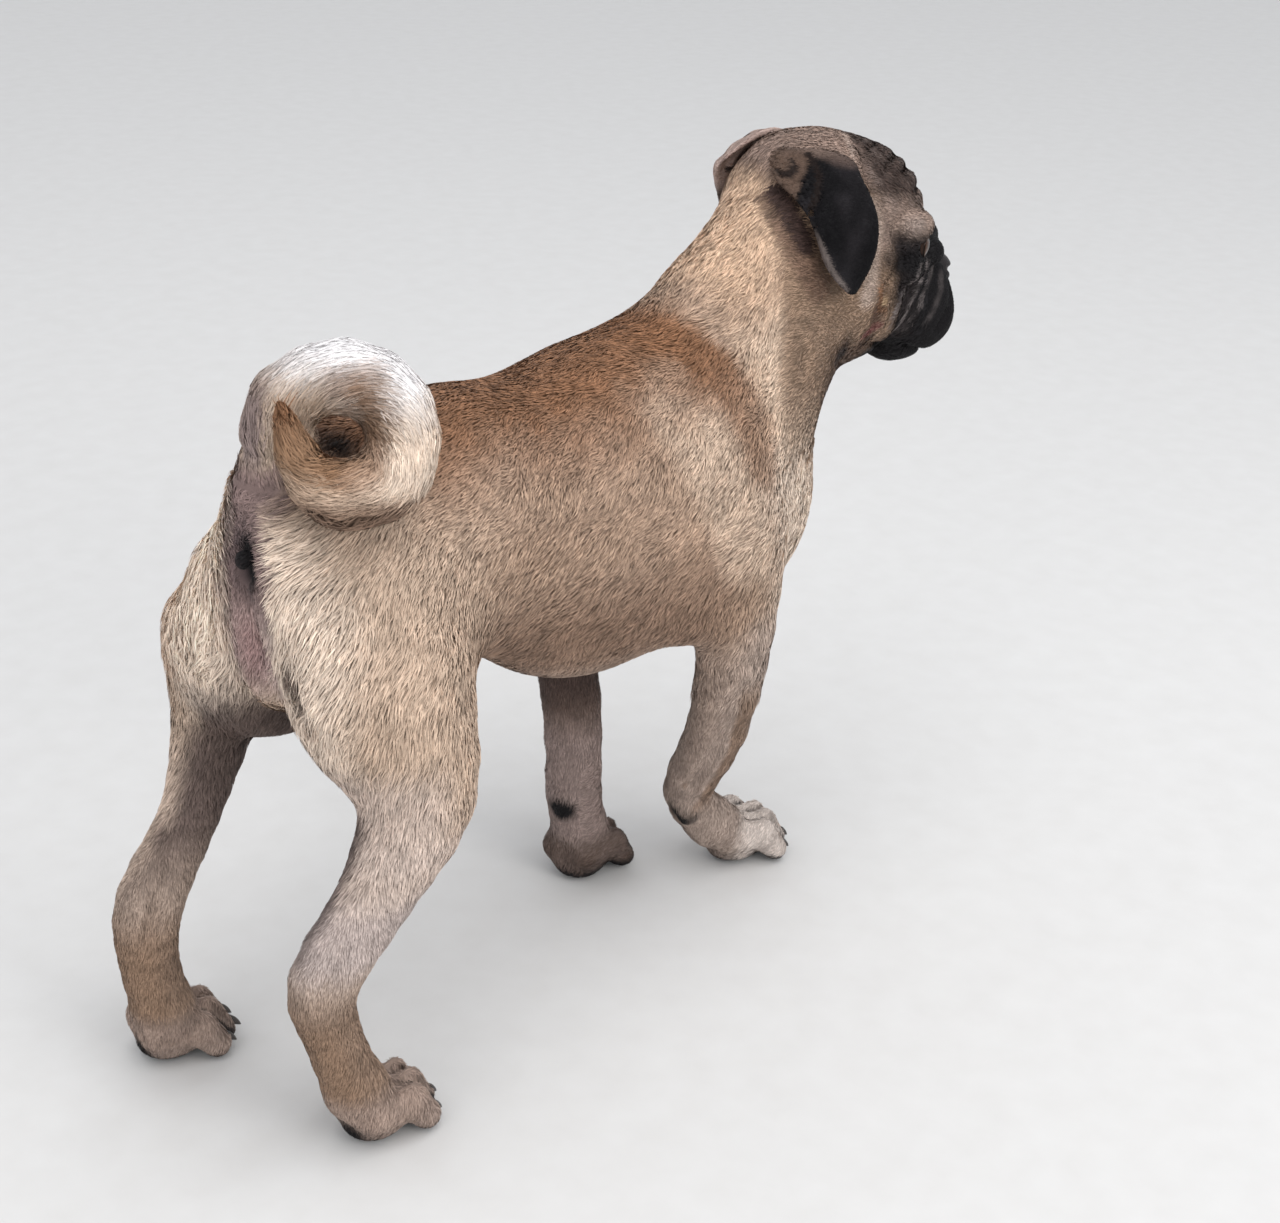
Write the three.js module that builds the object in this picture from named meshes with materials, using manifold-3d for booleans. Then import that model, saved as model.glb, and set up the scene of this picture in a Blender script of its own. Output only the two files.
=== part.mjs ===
// A life-size pug, standing with its head turned a little to its right, its tail curled over its right hip.
// Millimetres. +X runs from rump to chest, +Y to the dog's left, +Z up. The soles rest on z = 0.
// The flesh is a field: a function of a point that gives the distance to the skin, negative inside.
// Each field is built from eggs and limbs that melt together, is meshed, thinned out where it is flat,
// and is parted into the dog's named pieces by thin cuts.
import * as THREE from "three";
import { triTable } from "three/addons/objects/MarchingCubes.js";
import { mergeVertices } from "three/addons/utils/BufferGeometryUtils.js";
import Module from "manifold-3d";

const wasm = await Module();
wasm.setup();

// Driving sizes
const WITHERS = 305; // height of the back over the shoulders
const BODY_MID = WITHERS - 78; // height of the middle of the rib cage
const WRIST_CUT = 34; // height at which each paw leaves its leg
const GAP = 0.36; // clear space between touching pieces
const CENTRE = [59.8, 1.2]; // the middle of the dog's box on the floor, moved to the origin at the end

const HEAD_AT = [230, -5, 322]; // middle of the skull
const HEAD_TURN = -25; // degrees about +Z, towards the dog's right
const HEAD_NOD = 8; // degrees, nose down

const EYE_RADIUS = 11;
const EYE_AT = [32, 27, 0]; // in the head's own frame, with the sign of y for each side

// Vectors
const rad = THREE.MathUtils.degToRad;
const vec = (p) => new THREE.Vector3(...p);
const add = (a, b) => a.map((v, i) => v + b[i]);
const sub = (a, b) => a.map((v, i) => v - b[i]);
const dot = (a, b) => a[0] * b[0] + a[1] * b[1] + a[2] * b[2];
const mix = (a, b, t) => a.map((v, i) => v + (b[i] - v) * t);

// A frame with its own origin and turns: out() takes a point of the frame to the dog's frame.
function frame(origin, turn = 0, nod = 0, roll = 0) {
  const matrix = new THREE.Matrix4()
    .makeTranslation(...origin)
    .multiply(new THREE.Matrix4().makeRotationZ(rad(turn)))
    .multiply(new THREE.Matrix4().makeRotationY(rad(nod)))
    .multiply(new THREE.Matrix4().makeRotationX(rad(roll)));
  const inverse = matrix.clone().invert();
  const e = inverse.elements;
  return {
    matrix,
    out: (p) => vec(p).applyMatrix4(matrix).toArray(),
    field: (inner) => (x, y, z) =>
      inner(
        e[0] * x + e[4] * y + e[8] * z + e[12],
        e[1] * x + e[5] * y + e[9] * z + e[13],
        e[2] * x + e[6] * y + e[10] * z + e[14],
      ),
  };
}

// Fields
// An ellipsoid, turned about its own centre.
function egg(centre, radii, turn = 0, nod = 0, roll = 0) {
  const [a, b, c] = radii;
  const own = (x, y, z) => {
    const near = Math.hypot(x / a, y / b, z / c);
    const far = Math.hypot(x / (a * a), y / (b * b), z / (c * c));
    return far < 1e-9 ? -Math.min(a, b, c) : (near * (near - 1)) / far;
  };
  return frame(centre, turn, nod, roll).field(own);
}

// A rounded cone between two balls.
function cone(p, q, rp, rq) {
  const axis = sub(q, p);
  const length2 = dot(axis, axis);
  const rise = rp - rq;
  const slant = length2 - rise * rise;
  const inverse = 1 / length2;
  return (x, y, z) => {
    const px = x - p[0];
    const py = y - p[1];
    const pz = z - p[2];
    const along = px * axis[0] + py * axis[1] + pz * axis[2];
    const beyond = along - length2;
    const ox = px * length2 - axis[0] * along;
    const oy = py * length2 - axis[1] * along;
    const oz = pz * length2 - axis[2] * along;
    const off2 = ox * ox + oy * oy + oz * oz;
    const y2 = along * along * length2;
    const z2 = beyond * beyond * length2;
    const k = Math.sign(rise) * rise * rise * off2;
    if (Math.sign(beyond) * slant * z2 > k) return Math.sqrt(off2 + z2) * inverse - rq;
    if (Math.sign(along) * slant * y2 < k) return Math.sqrt(off2 + y2) * inverse - rp;
    return (Math.sqrt(off2 * slant * inverse) + along * rise) * inverse - rp;
  };
}

function softMin(a, b, k) {
  const h = Math.max(k - Math.abs(a - b), 0) / k;
  return Math.min(a, b) - h * h * k * 0.25;
}

// Melts fields into one; k is the width of the fillet.
const melt = (k, ...fields) => (x, y, z) => {
  let d = fields[0](x, y, z);
  for (let i = 1; i < fields.length; i++) d = softMin(d, fields[i](x, y, z), k);
  return d;
};

// Takes a tool out of a field, with a soft edge.
const carve = (k, field, ...tools) => (x, y, z) => {
  let d = field(x, y, z);
  for (const tool of tools) d = -softMin(-d, tool(x, y, z), k);
  return d;
};

// A chain of cones through joints, each a point with a radius.
const limb = (k, ...joints) =>
  melt(
    k,
    ...joints
      .slice(1)
      .map((to, i) => cone(joints[i].slice(0, 3), to.slice(0, 3), joints[i][3], to[3])),
  );

// Places along a smooth curve through joints, with smooth radii.
const CURVE_STEPS = 3;
function flow(joints) {
  const at = (i) => joints[Math.max(0, Math.min(joints.length - 1, i))];
  const places = [];
  for (let i = 0; i < joints.length - 1; i++)
    for (let n = 0; n < CURVE_STEPS; n++) {
      const u = n / CURVE_STEPS;
      const [a, b, c, d] = [at(i - 1), at(i), at(i + 1), at(i + 2)];
      const third = (k) => u * (3 * (b[k] - c[k]) + d[k] - a[k]);
      const second = (k) => u * (2 * a[k] - 5 * b[k] + 4 * c[k] - d[k] + third(k));
      places.push(b.map((v, k) => v + 0.5 * u * (c[k] - a[k] + second(k))));
    }
  return [...places, joints[joints.length - 1]];
}

const bothSides = (make) => [make(1), make(-1)];

// Torso and neck
const ribs = egg([60, 0, BODY_MID - 9], [90, 59, 79], 0, 4);
const breast = egg([143, -13, BODY_MID - 18], [51, 45, 60]);
const loin = egg([-40, 0, BODY_MID + 10], [86, 50, 62], 0, -4);
const pelvis = egg([-94, -1, BODY_MID + 14], [50, 36, 58]);
const shoulders = bothSides((s) => egg([98, s * 42, BODY_MID - 10], [36, 23, 60], 0, 12, s * 6));
const haunches = bothSides((s) => egg([-99, s * 34, BODY_MID - 26], [42, 24, 54], 0, -18));
const nape = limb(8, [84, 0, 258, 32], [146, -7, 298, 28.5], [200, -8, 333, 32]);
const gullet = limb(8, [124, -5, 240, 43], [168, -8, 270, 40], [206, -9, 298, 38]);
const tailStub = cone([-110, 0, 262], [-124, 0, 292], 20, 14);
const trunk = melt(24, ribs, breast, loin, pelvis, ...shoulders, ...haunches, nape, gullet, tailStub);

// Legs, each with the middle of its paw, the way the paw points, and its joints with their radii
const LEGS = {
  fore_right: {
    paw: [165, -25],
    heading: -16,
    joints: [
      [108, -48, 206, 27],
      [111.5, -53, 160, 19],
      [116, -42, 100, 15.5],
      [121, -21.5, 54, 12.5],
      [140, -23, 28, 12.5],
    ],
  },
  fore_left: {
    paw: [98, 25],
    heading: 8,
    joints: [
      [97, 43, 206, 28],
      [88.7, 41, 160, 18.5],
      [87.7, 29.5, 100, 15.5],
      [84.7, 23.5, 50, 14.2],
      [90, 23.5, 28, 13],
    ],
  },
  hind_right: {
    paw: [-121, -53],
    heading: 0,
    joints: [
      [-102, -40, 196, 34],
      [-98, -51, 152, 25],
      [-123, -53.5, 118, 16.5],
      [-153.5, -53.5, 89, 14.5],
      [-149.5, -53.5, 60, 12],
      [-138, -54, 28, 13],
    ],
  },
  hind_left: {
    paw: [-144, 54],
    heading: -16,
    joints: [
      [-115, 48, 200, 24],
      [-112.5, 60, 152, 18.5],
      [-134, 52, 118, 13.5],
      [-163.5, 44.5, 90, 14.5],
      [-164, 48, 60, 12.8],
      [-156, 51, 28, 13],
    ],
  },
};

// Paws, in frames of their own: the origin on the floor under the middle, +X the way the toes point
const TOES = [
  { y: -14.4, tip: 10 },
  { y: -5, tip: 16.5 },
  { y: 5, tip: 16.5 },
  { y: 14.4, tip: 10 },
];
const TOE_RADIUS = 6.8;
const TOE_GAPS = [-9.8, 0, 9.8]; // y of the furrows between the toes

const toeTip = (toe) => [toe.tip, toe.y * 1.05, TOE_RADIUS + 0.4];

const toeField = (toe) =>
  limb(
    5,
    [toe.tip - 24, toe.y * 0.6, 17, 8.5],
    [toe.tip - 8, toe.y * 0.95, 18, TOE_RADIUS + 0.4],
    [...toeTip(toe), TOE_RADIUS],
  );

const pawFrame = (leg) => frame([...leg.paw, 0], leg.heading);

function pawField(leg) {
  const place = pawFrame(leg);
  const wrist = leg.joints[leg.joints.length - 1];
  const root = limb(10, wrist, [...place.out([-8, 0, 16]), 12]);
  const sole = egg([-6, 0, 7], [15, 13, 8]);
  const toes = melt(2.5, ...TOES.map(toeField));
  const gaps = TOE_GAPS.map((y) => limb(1, [-4, y * 0.8, 26, 1.2], [9, y, 24, 2.4], [21, y * 1.1, 9, 2]));
  return carve(2, melt(6, root, place.field(sole), place.field(toes)), ...gaps.map(place.field));
}

const legField = (leg) => limb(2, ...flow(leg.joints));
const legFields = Object.values(LEGS).map(legField);

// Head, in its own frame: +X to the nose, +Z to the crown
const headFrame = frame(HEAD_AT, HEAD_TURN, HEAD_NOD);
const cranium = egg([-8, 0, 6], [46, 43, 42]);
const forehead = egg([17, 0, 12], [31, 36, 31]);
const brows = bothSides((s) => egg([31, s * 30.5, 11], [11, 10.5, 8], s * 25));
const cheeks = bothSides((s) => egg([5, s * 24, -29], [33, 20, 32]));
const throat = egg([-8, 0, -44], [33, 29, 27]);
const muzzle = egg([45, 0, -25], [31, 28, 22]);
const flews = bothSides((s) => egg([52.5, s * 15, -38], [23, 15.5, 20]));
const chin = egg([51, 0, -55], [17, 16, 12]);
const roll = bothSides((s) => limb(4, [37, s * 29, -15, 5], [53, s * 19, -5, 6], [60, 0, 0, 6]));
const lidBalls = bothSides((s) => egg([EYE_AT[0], s * EYE_AT[1], EYE_AT[2]], [13, 13, 13]));
const headCore = melt(9, cranium, forehead, ...cheeks, throat, muzzle, ...flews, chin);
const headMass = melt(4, headCore, ...brows, ...roll, ...lidBalls);

// Moves a point of the head onto the skin.
function onSkin(field, p) {
  let q = [...p];
  const step = 0.5;
  for (let n = 0; n < 6; n++) {
    const d = field(...q);
    const slope = [0, 1, 2].map((i) => {
      const ahead = [...q];
      ahead[i] += step;
      return (field(...ahead) - d) / step;
    });
    const size = Math.max(dot(slope, slope), 0.04);
    q = q.map((v, i) => v - (slope[i] * d) / size);
  }
  return q;
}

// A furrow along places on the head, deepest at its middle.
function furrow(places, width) {
  const joints = places.map((p, i) => {
    const middle = Math.sin((Math.PI * (i + 0.5)) / places.length);
    return [...onSkin(headMass, p), width * (0.45 + 0.55 * middle)];
  });
  return limb(1, ...joints);
}

const eyeAxis = (s) => frame([EYE_AT[0], s * EYE_AT[1], EYE_AT[2]], s * 32, -4);
const LIP_LINE = [
  [12, 34, -44],
  [26, 34, -52],
  [44, 28, -58],
  [61, 16, -56],
  [70, 5, -50],
];
const lips = bothSides((s) => LIP_LINE.map(([x, y, z]) => [x, s * y, z]));
const furrows = [
  ...lips.map((line) => furrow([...line, [71, 0, -48]], 2)),
  furrow([[74, 0, -46], [75, 0, -36], [74, 0, -24]], 1.4),
  furrow([[40, 0, 14], [38, 0, 24], [30, 0, 36]], 1.8),
  ...bothSides((s) => furrow([[42, s * 4, 22], [40, s * 14, 27], [34, s * 26, 26]], 1.6)),
  ...bothSides((s) => furrow([[36, s * 5, 32], [33, s * 14, 35], [26, s * 25, 35]], 1.5)),
  ...bothSides((s) => furrow([[50, s * 8, 8], [46, s * 18, 4], [42, s * 24, -8], [34, s * 31, -14]], 1.8)),
  ...bothSides((s) => furrow([[60, s * 12, -6], [58, s * 22, -16], [48, s * 28, -28]], 1.8)),
  ...bothSides((s) => furrow([[30, s * 36, -18], [26, s * 38, -28], [22, s * 36, -38]], 1.6)),
];
const lidOpenings = bothSides((s) => eyeAxis(s).field(egg([12, 0, 0], [9, 9.4, 7.4])));
const headFlesh = carve(3, headMass, ...furrows);
const headOpen = carve(1.5, headFlesh, ...lidOpenings);
const earCanals = bothSides((s) => egg([-38, s * 42, 8], [8, 9, 8]));
const headField = headFrame.field(carve(4, headOpen, ...earCanals));

const neckTrunk = carve(
  6,
  trunk,
  egg([-146, 0, 252], [6, 4, 6]),
  limb(4, [-144, 0, 238, 2.5], [-140, 0, 214, 3], [-130, 0, 196, 4]),
);
const vent = egg([-124, 0, 200], [15, 10, 15], 0, 20);
const wristPads = [cone([112, -28, 49], [115, -27, 43], 6, 5), cone([73, 21, 52], [76, 21, 46], 6, 5)];
const body = melt(4, melt(14, neckTrunk, vent, ...legFields), ...wristPads);
const dog = melt(14, body, headField);

// Ears: a sheet that follows the head at a distance, inside a leaf's outline
const EAR_THICK = 3.6;
const EAR_CLEAR = 0.7;
const EAR_CELL = 1.4;
const EAR_TRIANGLES = 860;
const EAR_LEAF = [
  [-18, 42],
  [-8, 31],
  [-3, 14],
  [-5, -4],
  [-16, -18],
  [-26, -14],
  [-36, -4],
  [-44, 10],
  [-51, 20],
  [-54, 32],
  [-42, 42],
];

// Signed distance to a closed outline, negative inside.
function outlineDistance(outline, x, z) {
  let best = Infinity;
  let inside = false;
  for (let i = 0, j = outline.length - 1; i < outline.length; j = i++) {
    const [ax, az] = outline[i];
    const [bx, bz] = outline[j];
    const ex = bx - ax;
    const ez = bz - az;
    const t = Math.max(0, Math.min(1, ((x - ax) * ex + (z - az) * ez) / (ex * ex + ez * ez)));
    best = Math.min(best, Math.hypot(x - ax - t * ex, z - az - t * ez));
    if (az > z !== bz > z && x < ((bx - ax) * (z - az)) / (bz - az) + ax) inside = !inside;
  }
  return inside ? -best : best;
}

const smoothOutline = (outline, steps) =>
  new THREE.CatmullRomCurve3(
    outline.map(([x, z]) => new THREE.Vector3(x, 0, z)),
    true,
  )
    .getPoints(steps)
    .slice(1)
    .map((p) => [p.x, p.z]);

const leaf = smoothOutline(EAR_LEAF, 48);
const smooth = (low, high, v) => THREE.MathUtils.smoothstep(v, low, high);

function earField(s) {
  const overHead = (x, y, z, out, radius) => {
    const own = (...p) => dog(...headFrame.out(p));
    const foot = onSkin(own, [x, s * y, z]);
    const away = sub(foot, [-20, 0, 0]);
    const size = Math.hypot(...away);
    return [...foot.map((v, i) => v + (away[i] / size) * out), radius];
  };
  const cup = limb(3, overHead(-46, 40, 31, 4, 4.5), overHead(-50, 44, 20, 7, 4.5), overHead(-46, 46, 10, 7, 3));
  const rootPlaces = [overHead(-46, 38, 33, 2, 6), overHead(-32, 36, 37, 2, 6), overHead(-16, 36, 36, 2, 5)];
  const root = limb(3, ...rootPlaces);
  return headFrame.field((x, y, z) => {
    const around = dog(...headFrame.out([x, y, z]));
    const lift = 8 - 5.2 * smooth(10, 40, z) + 2 * smooth(8, 20, -z);
    const away = Math.abs(around - lift) - EAR_THICK / 2;
    const sheet = -softMin(-away, -outlineDistance(leaf, x, z), 2.5);
    const flap = Math.max(sheet, 14 - s * y);
    const whole = softMin(softMin(flap, cup(x, y, z), 5), root(x, y, z), 6);
    return Math.max(whole, EAR_CLEAR - around);
  });
}

// Tail: a ring over the right hip, wound once and a bit, with its tip in front of its own root
const TAIL_MIDDLE = [-101, -15, 304];
const TAIL_TURN = -32;
// each ring: its angle about the middle, how far out from it, how far towards the dog's right, and its radius
const TAIL_RINGS = [
  [180, 26, 0, 13.5],
  [150, 26, 3, 13.5],
  [120, 24, 6, 13.5],
  [90, 23, 9, 14],
  [60, 22, 12, 14],
  [30, 21, 15, 14],
  [0, 20, 19, 14],
  [-30, 19, 24, 14],
  [-60, 18, 29, 14],
  [-90, 16, 33, 13.5],
  [-120, 17, 34, 12],
  [-150, 20, 32, 10],
  [-180, 23, 29, 8],
  [-205, 29, 27, 4.5],
  [-214, 34, 27, 2.2],
];
const tailFrame = frame(TAIL_MIDDLE, TAIL_TURN);
const tailAt = ([angle, reach, out, radius]) => [
  ...tailFrame.out([reach * Math.cos(rad(angle)), -out, reach * Math.sin(rad(angle))]),
  radius,
];
const tailJoints = [[-116, 0, 268, 15], [-123, 0, 282, 14], ...TAIL_RINGS.map(tailAt)];
const tailField = limb(3, ...tailJoints);

// Meshing
// Marching cubes over a box, only near the skin; then each corner is moved onto the skin.
function mesh(field, low, high, cell) {
  const count = low.map((v, i) => Math.ceil((high[i] - v) / cell) + 1);
  const [nx, ny, nz] = count;
  const values = new Float32Array(nx * ny * nz).fill(NaN);
  const index = (i, j, k) => i + nx * (j + ny * k);
  const block = 6;
  for (let bk = 0; bk < nz; bk += block)
    for (let bj = 0; bj < ny; bj += block)
      for (let bi = 0; bi < nx; bi += block) {
        const half = (block * cell) / 2;
        const middle = field(low[0] + bi * cell + half, low[1] + bj * cell + half, low[2] + bk * cell + half);
        const far = Math.abs(middle) > half * 3.2 + 6;
        for (let k = bk; k < Math.min(bk + block, nz); k++)
          for (let j = bj; j < Math.min(bj + block, ny); j++)
            for (let i = bi; i < Math.min(bi + block, nx); i++)
              values[index(i, j, k)] = far
                ? middle
                : field(low[0] + i * cell, low[1] + j * cell, low[2] + k * cell);
      }
  // The box's own faces count as outside, so that the mesh closes.
  const edge = (i, n) => i === 0 || i === n - 1;
  for (let k = 0; k < nz; k++)
    for (let j = 0; j < ny; j++)
      for (let i = 0; i < nx; i++)
        if (edge(i, nx) || edge(j, ny) || edge(k, nz)) {
          const at = index(i, j, k);
          values[at] = Math.max(values[at], cell * 0.5);
        }
  const corners = [
    [0, 0, 0],
    [1, 0, 0],
    [1, 1, 0],
    [0, 1, 0],
    [0, 0, 1],
    [1, 0, 1],
    [1, 1, 1],
    [0, 1, 1],
  ];
  const edges = [
    [0, 1],
    [1, 2],
    [3, 2],
    [0, 3],
    [4, 5],
    [5, 6],
    [7, 6],
    [4, 7],
    [0, 4],
    [1, 5],
    [2, 6],
    [3, 7],
  ];
  const points = [];
  const known = new Map();
  const faces = [];
  const cornerOf = (i, j, k, e) => {
    const [a, b] = edges[e].map((c) => corners[c]);
    const from = index(i + a[0], j + a[1], k + a[2]);
    const to = index(i + b[0], j + b[1], k + b[2]);
    const axis = b[0] - a[0] ? 0 : b[1] - a[1] ? 1 : 2;
    const key = from * 3 + axis;
    if (!known.has(key)) {
      const t = Math.min(0.95, Math.max(0.05, values[from] / (values[from] - values[to])));
      const p = [i + a[0], j + a[1], k + a[2]];
      p[axis] += t;
      known.set(key, points.length / 3);
      points.push(...p.map((v, n) => low[n] + v * cell));
    }
    return known.get(key);
  };
  for (let k = 0; k < nz - 1; k++)
    for (let j = 0; j < ny - 1; j++)
      for (let i = 0; i < nx - 1; i++) {
        let mask = 0;
        corners.forEach((c, n) => {
          if (values[index(i + c[0], j + c[1], k + c[2])] < 0) mask |= 1 << n;
        });
        if (mask === 0 || mask === 255) continue;
        for (let t = mask * 16; triTable[t] !== -1; t += 3) {
          const f = [0, 1, 2].map((n) => cornerOf(i, j, k, triTable[t + n]));
          if (f[0] !== f[1] && f[1] !== f[2] && f[0] !== f[2]) faces.push(f[0], f[2], f[1]);
        }
      }
  return { points: Float64Array.from(points), faces };
}

// Thinning: joins the two ends of the edge that changes the shape least, until few enough triangles are left.
// Each corner keeps the sum of the squared distances to the planes of the faces it has stood for.
function thin({ points, faces }, target) {
  const n = points.length / 3;
  const q = new Float64Array(n * 10);
  const around = Array.from({ length: n }, () => new Set());
  const alive = new Uint8Array(faces.length / 3).fill(1);
  const stamp = new Uint32Array(n);
  const at = (v) => [points[v * 3], points[v * 3 + 1], points[v * 3 + 2]];
  const normalOf = (a, b, c) => {
    const u = sub(b, a);
    const w = sub(c, a);
    return [u[1] * w[2] - u[2] * w[1], u[2] * w[0] - u[0] * w[2], u[0] * w[1] - u[1] * w[0]];
  };
  let left = alive.length;
  for (let f = 0; f < left; f++) {
    const ids = [faces[f * 3], faces[f * 3 + 1], faces[f * 3 + 2]];
    const a = at(ids[0]);
    let m = normalOf(a, at(ids[1]), at(ids[2]));
    const size = Math.hypot(...m) || 1e-12;
    m = m.map((v) => v / size);
    const d = -dot(m, a);
    const plane = [...m, d];
    let s = 0;
    for (let i = 0; i < 4; i++)
      for (let j = i; j < 4; j++, s++)
        for (const v of ids) q[v * 10 + s] += plane[i] * plane[j] * size;
    for (const v of ids) around[v].add(f);
  }
  const errorAt = (k, [x, y, z]) =>
    k[0] * x * x +
    2 * k[1] * x * y +
    2 * k[2] * x * z +
    2 * k[3] * x +
    k[4] * y * y +
    2 * k[5] * y * z +
    2 * k[6] * y +
    k[7] * z * z +
    2 * k[8] * z +
    k[9];
  const sumOf = (u, v) => {
    const k = new Float64Array(10);
    for (let i = 0; i < 10; i++) k[i] = q[u * 10 + i] + q[v * 10 + i];
    return k;
  };
  const best = (u, v) => {
    const k = sumOf(u, v);
    const a = at(u);
    const b = at(v);
    const choices = [a, b, mix(a, b, 0.5)];
    const [xx, xy, xz, xd, yy, yz, yd, zz, zd] = k;
    const det = xx * (yy * zz - yz * yz) - xy * (xy * zz - yz * xz) + xz * (xy * yz - yy * xz);
    const scale = xx + yy + zz;
    if (Math.abs(det) > 1e-4 * scale ** 3) {
      const bx = -xd;
      const by = -yd;
      const bz = -zd;
      const p = [
        (bx * (yy * zz - yz * yz) - xy * (by * zz - yz * bz) + xz * (by * yz - yy * bz)) / det,
        (xx * (by * zz - bz * yz) - bx * (xy * zz - yz * xz) + xz * (xy * bz - by * xz)) / det,
        (xx * (yy * bz - by * yz) - xy * (xy * bz - by * xz) + bx * (xy * yz - yy * xz)) / det,
      ];
      if (Math.hypot(...sub(p, choices[2])) < 1.5 * Math.hypot(...sub(a, b))) choices.push(p);
    }
    let found = null;
    const reach = Math.hypot(...sub(a, b));
    for (const p of choices) {
      const cost = errorAt(k, p) + 2e-5 * reach ** 4;
      if (!found || cost < found.cost) found = { cost, p };
    }
    return found;
  };
  const heap = [];
  const push = (item) => {
    let i = heap.length;
    heap.push(item);
    while (i > 0) {
      const up = (i - 1) >> 1;
      if (heap[up].cost <= item.cost) break;
      heap[i] = heap[up];
      i = up;
    }
    heap[i] = item;
  };
  const pop = () => {
    const top = heap[0];
    const last = heap.pop();
    if (heap.length) {
      let i = 0;
      for (;;) {
        let c = 2 * i + 1;
        if (c >= heap.length) break;
        if (c + 1 < heap.length && heap[c + 1].cost < heap[c].cost) c++;
        if (heap[c].cost >= last.cost) break;
        heap[i] = heap[c];
        i = c;
      }
      heap[i] = last;
    }
    return top;
  };
  const neighbours = (v) => {
    const found = new Set();
    for (const f of around[v]) for (let i = 0; i < 3; i++) found.add(faces[f * 3 + i]);
    found.delete(v);
    return found;
  };
  const offer = (u, v) => push({ ...best(u, v), u, v, su: stamp[u], sv: stamp[v] });
  for (let v = 0; v < n; v++) for (const w of neighbours(v)) if (w > v) offer(v, w);
  while (left > target && heap.length) {
    const { u, v, p, su, sv } = pop();
    if (stamp[u] !== su || stamp[v] !== sv || !around[u].size || !around[v].size) continue;
    const nu = neighbours(u);
    const nv = neighbours(v);
    if (!nu.has(v)) continue;
    const shared = [...nu].filter((w) => nv.has(w));
    if (shared.length !== 2) continue;
    const turnsOver = (w, other) => {
      for (const f of around[w]) {
        const ids = [faces[f * 3], faces[f * 3 + 1], faces[f * 3 + 2]];
        if (ids.includes(other)) continue;
        const before = normalOf(...ids.map(at));
        const after = normalOf(...ids.map((id) => (id === w ? p : at(id))));
        const size = Math.hypot(...before) * Math.hypot(...after);
        if (dot(before, after) < 0.35 * size || size < 1e-9) return true;
      }
      return false;
    };
    if (turnsOver(u, v) || turnsOver(v, u)) continue;
    const k = sumOf(u, v);
    for (let i = 0; i < 10; i++) q[u * 10 + i] = k[i];
    points.set(p, u * 3);
    for (const f of [...around[v]]) {
      const ids = [faces[f * 3], faces[f * 3 + 1], faces[f * 3 + 2]];
      if (ids.includes(u)) {
        alive[f] = 0;
        left--;
        for (const id of ids) around[id].delete(f);
      } else {
        for (let i = 0; i < 3; i++) if (faces[f * 3 + i] === v) faces[f * 3 + i] = u;
        around[u].add(f);
      }
    }
    around[v].clear();
    stamp[u]++;
    stamp[v]++;
    for (const w of neighbours(u)) offer(u, w);
  }
  const kept = faces.filter((_, i) => alive[Math.floor(i / 3)]);
  return { points, faces: kept };
}

// Solids
function solidOf({ points, faces }) {
  const made = new wasm.Mesh({
    numProp: 3,
    vertProperties: Float32Array.from(points),
    triVerts: Uint32Array.from(faces),
  });
  return new wasm.Manifold(made);
}

function solidOfGeometry(geometry) {
  const bare = geometry.clone();
  bare.deleteAttribute("normal");
  bare.deleteAttribute("uv");
  const merged = mergeVertices(bare, 1e-4);
  return solidOf({ points: merged.attributes.position.array, faces: merged.index.array });
}

const skinSolid = (field, low, high, cell, triangles) =>
  solidOf(thin(mesh(field, low, high, cell), triangles));

function geometryOf(solid) {
  const made = solid.getMesh();
  const geometry = new THREE.BufferGeometry()
    .setAttribute("position", new THREE.BufferAttribute(Float32Array.from(made.vertProperties), 3))
    .setIndex(new THREE.BufferAttribute(Uint32Array.from(made.triVerts), 1));
  geometry.computeVertexNormals();
  return geometry;
}

// The piece of a parted solid that holds a place.
function pieceAt(pieces, place) {
  const probe = solidOfGeometry(new THREE.IcosahedronGeometry(2, 1).translate(...place));
  const shares = pieces.map((piece) => piece.intersect(probe).volume());
  return pieces[shares.indexOf(Math.max(...shares))];
}

// A thin cut: a flat box, turned so that its own z is the way across the cut.
function blade(place, size, turn = 0, nod = 0, roll = 0, thickness = GAP) {
  const box = new THREE.BoxGeometry(size[0], size[1], thickness);
  return solidOfGeometry(box.applyMatrix4(frame(place, turn, nod, roll).matrix));
}

// A closed tube through places, with a radius at each.
function tube(places, radii, sides) {
  const points = [];
  const faces = [];
  const last = places.length - 1;
  places.forEach((place, i) => {
    const from = vec(places[Math.max(i - 1, 0)]);
    const along = vec(places[Math.min(i + 1, last)]).sub(from).normalize();
    const across = new THREE.Vector3(0, 1, 0).cross(along).normalize();
    const up = along.clone().cross(across);
    for (let k = 0; k < sides; k++) {
      const a = (2 * Math.PI * k) / sides;
      const p = vec(place).addScaledVector(across, radii[i] * Math.cos(a));
      points.push(...p.addScaledVector(up, radii[i] * Math.sin(a)).toArray());
    }
  });
  points.push(...places[0], ...places[last]);
  const ends = [places.length * sides, places.length * sides + 1];
  for (let k = 0; k < sides; k++) {
    const n = (k + 1) % sides;
    for (let i = 0; i < last; i++) {
      const a = i * sides;
      const b = a + sides;
      faces.push(a + k, a + n, b + n, a + k, b + n, b + k);
    }
    faces.push(ends[0], n, k, ends[1], last * sides + k, last * sides + n);
  }
  return { points, faces };
}

const group = new THREE.Group();
const COAT = { color: 0xc9a987, roughness: 0.85, metalness: 0 };
const LEATHER = { color: 0x1d191a, roughness: 0.6, metalness: 0 };
const HORN = { color: 0x1a1615, roughness: 0.45, metalness: 0 };
const GLASS = { color: 0x1c0f08, roughness: 0.05, metalness: 0 };

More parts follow.
